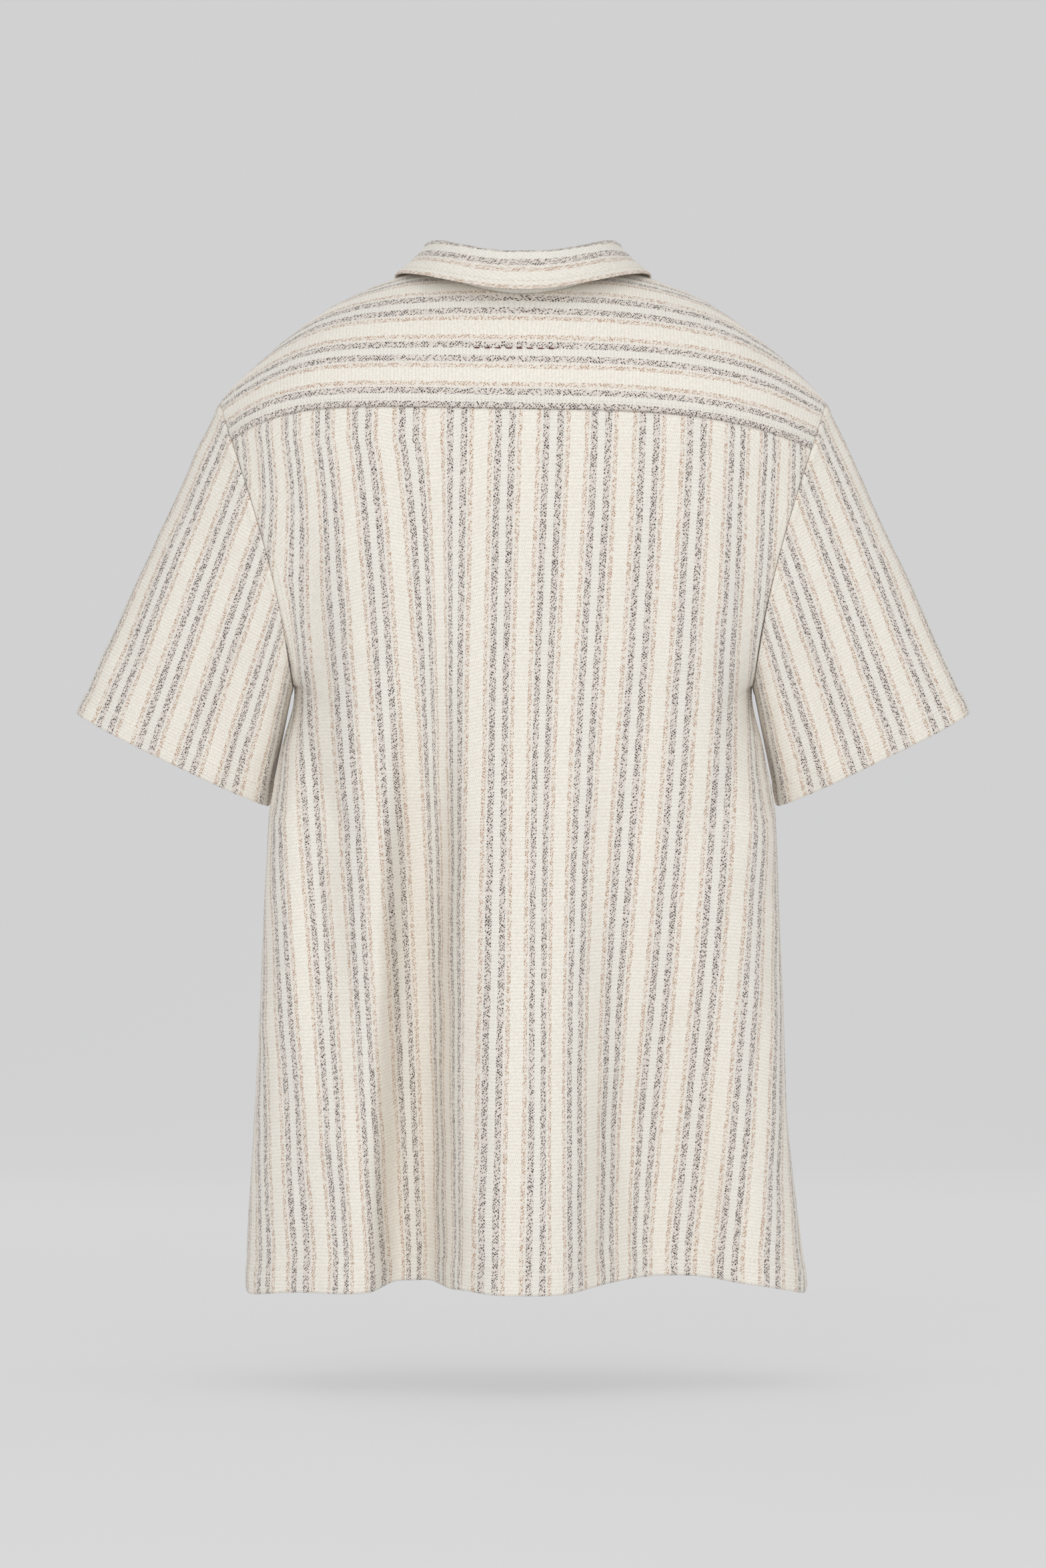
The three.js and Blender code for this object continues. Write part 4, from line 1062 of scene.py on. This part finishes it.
# Finishes.

def linear(red, green, blue):
    parts = np.array([red, green, blue]) / 255
    return tuple(np.where(parts <= 0.04045, parts / 12.92, ((parts + 0.055) / 1.055) ** 2.4)) + (1.0,)


class Nodes:
    def __init__(self, name):
        self.material = bpy.data.materials.new(name)
        self.material.use_nodes = True
        self.tree = self.material.node_tree
        self.shader = self.tree.nodes["Principled BSDF"]

    # A socket takes either a plain value or another node's output.
    def give(self, socket, value):
        if isinstance(value, (int, float, tuple)):
            socket.default_value = value
        else:
            self.tree.links.new(value, socket)

    def add(self, kind, inputs=(), **settings):
        node = self.tree.nodes.new(kind)
        for name, value in settings.items():
            setattr(node, name, value)
        for name, value in dict(inputs).items():
            self.give(node.inputs[name], value)
        return node

    def place(self):
        return self.add("ShaderNodeTexCoord").outputs["Object"]

    def noise(self, at, **inputs):
        return self.add("ShaderNodeTexNoise", {"Vector": at, **inputs}).outputs["Fac"]

    def split(self, vector):
        return self.add("ShaderNodeSeparateXYZ", {0: vector}).outputs

    def turn(self, vector, **inputs):
        return self.add("ShaderNodeMapping", {"Vector": vector, **inputs}).outputs[0]

    def smooth(self, value, start, end):
        inputs = {"Value": value, "From Min": start, "From Max": end}
        return self.add("ShaderNodeMapRange", inputs, interpolation_type="SMOOTHSTEP").outputs[0]

    def sum(self, operation, *inputs):
        return self.add("ShaderNodeMath", dict(enumerate(inputs)), operation=operation).outputs[0]

    def ramp(self, source, stops):
        node = self.add("ShaderNodeValToRGB", {"Fac": source})
        elements = node.color_ramp.elements
        for k, (at, colour) in enumerate(stops):
            stop = elements[k] if k < 2 else elements.new(at)
            stop.position = at
            stop.color = colour
        return node.outputs

    def blend(self, share, first, second, mode="MIX"):
        inputs = {"Factor": share, "A": first, "B": second}
        return self.add("ShaderNodeMix", inputs, data_type="RGBA", blend_type=mode).outputs["Result"]

    def bump(self, height, strength, distance):
        inputs = {"Height": height, "Strength": strength, "Distance": distance}
        self.give(self.shader.inputs["Normal"], self.add("ShaderNodeBump", inputs).outputs[0])

    def finish(self, **inputs):
        for name, value in inputs.items():
            self.give(self.shader.inputs[name.replace("_", " ")], value)
        return self.material


def bandStops(pick):
    half = knit["repeat"] / 2
    stops = []
    start = 0.0
    for band in knit["bands"]:
        stops.append((min(1, (start + knit["softEdge"]) / half) if start else 0.0, pick(band)))
        stops.append((min(1, (band["end"] - knit["softEdge"]) / half), pick(band)))
        start = band["end"]
    return stops


# Stripes along the cloth, of slanting dashes on a waffle of fine rows, read from the cloth's measures.
def makeKnit():
    nodes = Nodes("striped_knit")
    measure = nodes.add("ShaderNodeUVMap", uv_map="cloth").outputs[0]
    across, along = nodes.split(measure)[:2]
    half = knit["repeat"] / 2

    sway = nodes.noise(measure, Scale=knit["swayScale"], Detail=2.0)
    moved = nodes.sum("ADD", across, nodes.sum("MULTIPLY_ADD", sway, 2 * knit["sway"], -knit["sway"]))
    stripe = nodes.sum("DIVIDE", nodes.sum("PINGPONG", moved, half), half)
    ground = nodes.ramp(stripe, bandStops(lambda band: linear(*band["ground"])))
    strand = nodes.ramp(stripe, bandStops(lambda band: linear(*band["thread"])[:3] + (band["shows"],)))

    leaning = nodes.turn(measure, Rotation=(0, 0, -math.radians(knit["dashLean"])))
    stretched = nodes.turn(leaning, Scale=(1 / knit["dashLength"], 1 / knit["dashWidth"], 1))
    inputs = {"Scale": 1.0, "Randomness": knit["dashScatter"], "Vector": stretched}
    cells = nodes.add("ShaderNodeTexVoronoi", inputs, voronoi_dimensions="2D").outputs
    shape = nodes.smooth(cells["Distance"], *knit["dashEdge"])
    patches = nodes.noise(measure, Scale=knit["patchScale"])
    chance = nodes.sum("MULTIPLY_ADD", patches, knit["patches"], nodes.split(cells["Color"])[0])
    dash = nodes.sum("MULTIPLY", shape, nodes.smooth(chance, *knit["dashChance"]))

    rowWave = nodes.sum("COSINE", nodes.sum("MULTIPLY", along, 2 * math.pi / knit["rowPitch"]))
    row = nodes.sum("FLOOR", nodes.sum("DIVIDE", along, knit["rowPitch"]))
    pitTurn = nodes.sum("MULTIPLY", moved, 2 * math.pi / knit["pitPitch"])
    pitWave = nodes.sum("COSINE", nodes.sum("MULTIPLY_ADD", row, math.pi, pitTurn))
    pits = nodes.sum("MULTIPLY", pitWave, knit["pitDepth"])
    waffle = nodes.sum("MULTIPLY_ADD", rowWave, knit["rowDepth"], pits)
    fibre = nodes.noise(measure, Scale=knit["fibreScale"], Detail=3.0)
    raised = nodes.sum("MULTIPLY", dash, knit["dashDepth"])
    fuzz = nodes.sum("MULTIPLY_ADD", fibre, knit["fibreDepth"], raised)
    nodes.bump(nodes.sum("ADD", waffle, fuzz), knit["bump"], knit["reliefHeight"] * mm)

    # Painted shade: the cloth's colour is darkened where the waffle's rows and pits sink.
    shade = nodes.ramp(nodes.sum("MULTIPLY_ADD", waffle, knit["pitShade"], 0.5), knit["pits"])
    base = nodes.blend(1.0, ground["Color"], shade["Color"], "MULTIPLY")
    shown = nodes.sum("MULTIPLY", dash, strand["Alpha"])
    return nodes.finish(
        Base_Color=nodes.blend(shown, base, strand["Color"]),
        Roughness=nodes.sum("MULTIPLY_ADD", fibre, knit["fuzz"], knit["roughness"]),
        Sheen_Weight=knit["sheen"], Sheen_Roughness=knit["sheenRoughness"],
        Specular_IOR_Level=knit["shine"],
    )


resin = {
    "light": (238, 232, 218), "dark": (222, 212, 192), "scale": 160, "swirl": 1.8,
    "roughness": 0.24, "cloudy": 0.16, "coat": 0.2, "coatRoughness": 0.2,
}


# Buttons of cast resin: slow cloudy swirls between two creams, with a soft gloss.
def makeResin():
    nodes = Nodes("button_resin")
    cloud = nodes.noise(nodes.place(), Scale=resin["scale"], Detail=5, Distortion=resin["swirl"])
    swirl = nodes.ramp(cloud, [(0.35, linear(*resin["dark"])), (0.65, linear(*resin["light"]))])
    rough = nodes.sum("MULTIPLY_ADD", cloud, resin["cloudy"], resin["roughness"])
    return nodes.finish(
        Base_Color=swirl["Color"], Roughness=rough,
        Coat_Weight=resin["coat"], Coat_Roughness=resin["coatRoughness"],
    )


twistLook = {"scale": 900, "waver": 1.5, "bump": 0.4, "height": 0.1, "roughness": 0.7}


# Sewing thread: its colour with painted shade in the grooves of its twist, read from the place along
# slanting lines.
def makeThread(name, light, dark):
    nodes = Nodes(name)
    inputs = {"Vector": nodes.place(), "Scale": twistLook["scale"], "Distortion": twistLook["waver"]}
    twist = nodes.add("ShaderNodeTexWave", inputs, bands_direction="DIAGONAL").outputs["Fac"]
    # Painted shade: the thread is darker where its twist sinks, where the bump is low.
    tone = nodes.ramp(twist, [(0.2, linear(*dark)), (0.8, linear(*light))])
    nodes.bump(twist, twistLook["bump"], twistLook["height"] * mm)
    return nodes.finish(Base_Color=tone["Color"], Roughness=twistLook["roughness"])


# Floor, backdrop and light.

# The floor rises a little toward the camera, which keeps the shadow under the shirt slim, and ends
# before the lamps. Most of the paper's light is its own, so that floor and wall keep one tone.
studio = {
    "floorZ": -0.808, "slope": 0.14, "wallY": -4.6, "bend": 1.2, "bendRows": 25, "halfWidth": 6.0,
    "columns": 5, "frontY": 1.6, "height": 6.0, "tone": (214, 214, 215), "mottle": 0.985,
    "reflects": 0.46, "glow": 0.62, "sky": 0.63, "aim": (0.0, 0.0, -0.35),
}
lamps = {
    "key": {"place": (0.9, 3.4, 0.5), "size": 1.6, "power": 29.4},
    "fill": {"place": (-1.4, 3.2, 0.4), "size": 1.6, "power": 19.8},
    "top": {"place": (-0.25, 0.1, 2.3), "size": 1.0, "power": 4},
    "front": {"place": (1.5, -3.1, 0.9), "size": 1.6, "power": 10},
    "frontFill": {"place": (-1.9, -2.8, 0.5), "size": 1.6, "power": 6},
}


# One sheet of paper: a sloping floor, a quarter circle and a flat wall, each column along x.
def makeStudio():
    turn = np.linspace(0, np.pi / 2, studio["bendRows"])
    curveY = studio["wallY"] + studio["bend"] * (1 - np.sin(turn))
    y = np.concatenate([[studio["frontY"]], curveY, [studio["wallY"]]])
    rise = np.concatenate([[0.0], studio["bend"] * (1 - np.cos(turn)), [studio["height"]]])
    z = studio["floorZ"] + rise + studio["slope"] * y
    x = np.linspace(-studio["halfWidth"], studio["halfWidth"], studio["columns"])
    grid = np.stack(np.broadcast_arrays(x[None, :], y[:, None], z[:, None]), axis=-1)
    sweep = makeMesh("studio_sweep", grid / mm, gridFaces(len(y), studio["columns"])[:, ::-1])
    paper = Nodes("studio_paper")
    light = linear(*studio["tone"])
    dark = tuple(studio["mottle"] * part for part in light[:3]) + (1.0,)
    tone = paper.ramp(paper.noise(paper.place(), Scale=3.0), [(0.3, dark), (0.7, light)])
    share = (studio["reflects"],) * 3 + (1.0,)
    sweep.data.materials.append(paper.finish(
        Base_Color=paper.blend(1.0, tone["Color"], share, "MULTIPLY"),
        Emission_Color=light, Emission_Strength=studio["glow"], Roughness=0.9, Specular_IOR_Level=0.1,
    ))


def makeLight():
    world = bpy.data.worlds.new("studio_air")
    world.use_nodes = True
    sky = world.node_tree.nodes["Background"].inputs
    sky["Color"].default_value = (1, 1, 1, 1)
    sky["Strength"].default_value = studio["sky"]
    bpy.context.scene.world = world
    for name, lamp in lamps.items():
        data = bpy.data.lights.new(name, "AREA")
        data.size = lamp["size"]
        data.energy = lamp["power"]
        light = bpy.data.objects.new(name, data)
        bpy.context.scene.collection.objects.link(light)
        light.location = lamp["place"]
        light.visible_camera = False
        aim = np.array(studio["aim"]) - np.array(lamp["place"])
        flat = math.hypot(aim[0], aim[1])
        light.rotation_euler = (math.pi / 2 + math.atan2(aim[2], flat), 0, math.atan2(-aim[0], aim[1]))
    bpy.context.scene.view_settings.view_transform = "Standard"


makeStudio()
makeLight()
print("studio and light made")

# The shirt put together.

knitFinish = makeKnit()
resinFinish = makeResin()
# Each thread's second colour is the painted shade in its twist's grooves.
creamThread = makeThread("cream_thread", (240, 235, 222), (214, 206, 188))
accentThread = makeThread("dark_red_thread", (112, 22, 36), (66, 8, 20))


def dress(piece, finish, slot, *nodes):
    piece.data.materials.append(finish)
    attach(piece, "root")
    if nodes:
        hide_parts(*nodes)
    return piece


surfaces = {}
for name, (piece, surface) in {
    "back": makeBack(),
    "yoke": makeYoke(),
    "front_left": makeFront(1, "front_left_cloth"),
    "front_right": makeFront(-1, "front_right_cloth"),
    "sleeve_left": makeSleeve(1, "sleeve_left_cloth"),
    "sleeve_right": makeSleeve(-1, "sleeve_right_cloth"),
    "collar": makeCollar(),
}.items():
    dress(piece, knitFinish, "cloth", name)
    surfaces[name] = surface
    print("cloth made:", name, len(piece.data.polygons), "faces")


# Which lines of stitching each piece carries: the edge they follow, how far inside it, and whether
# that edge runs along the grid's rows (0) or its columns (1).
def hemLine(piece):
    return "bottom", piece["hemDepth"] - hemShape["stitchInside"], 0


seamInside, bandInside = seamShape["stitchAt"], frontBand["stitchInside"]
frontLines = [hemLine(fronts), ("edge", bandInside, 1), ("edge", frontBand["width"] - bandInside, 1)]
sleeveLines = [("top", seamInside, 0), hemLine(sleeves)]
stitchTable = {
    "back": [hemLine(back), ("left", seamInside, 1), ("right", seamInside, 1)],
    "yoke": [("bottom", seamInside, 0), ("top", yoke["frontStitch"], 0)],
    "front_left": frontLines,
    "front_right": frontLines,
    "sleeve_left": sleeveLines,
    "sleeve_right": sleeveLines,
    "collar": [("bottom", collar["stitchAt"], 0)],
}
sewn = {}
for name, lines in stitchTable.items():
    surface = surfaces[name]
    paths = [
        stitchPaths(*lineAt(surface["grid"], surface["out"], surface[edge], inside, axis))
        for edge, inside, axis in lines
    ]
    made = makeTubes(f"{name}_stitches", np.concatenate(paths), thread)
    sewn[name] = [dress(made, creamThread, "thread")]
surface = surfaces["yoke"]
line, out = lineAt(surface["grid"], surface["out"], surface["bottom"], accentRow["above"], 0)
inside = (line[:, 0] < accentRow["from"]) & (line[:, 0] > accentRow["to"])
paths = stitchPaths(line[inside], out[inside], accentRow)
made = makeTubes("yoke_accent_row", paths, accentRow)
sewn["yoke"].append(dress(made, accentThread, "accent"))
print("stitching made")

for k in range(buttons["count"]):
    dress(makeButton(k), resinFinish, "button", f"button_{k + 1}")
    dress(makeButtonThread(k), creamThread, "thread")
    dress(makeButtonhole(k), creamThread, "thread")
print("buttons made")
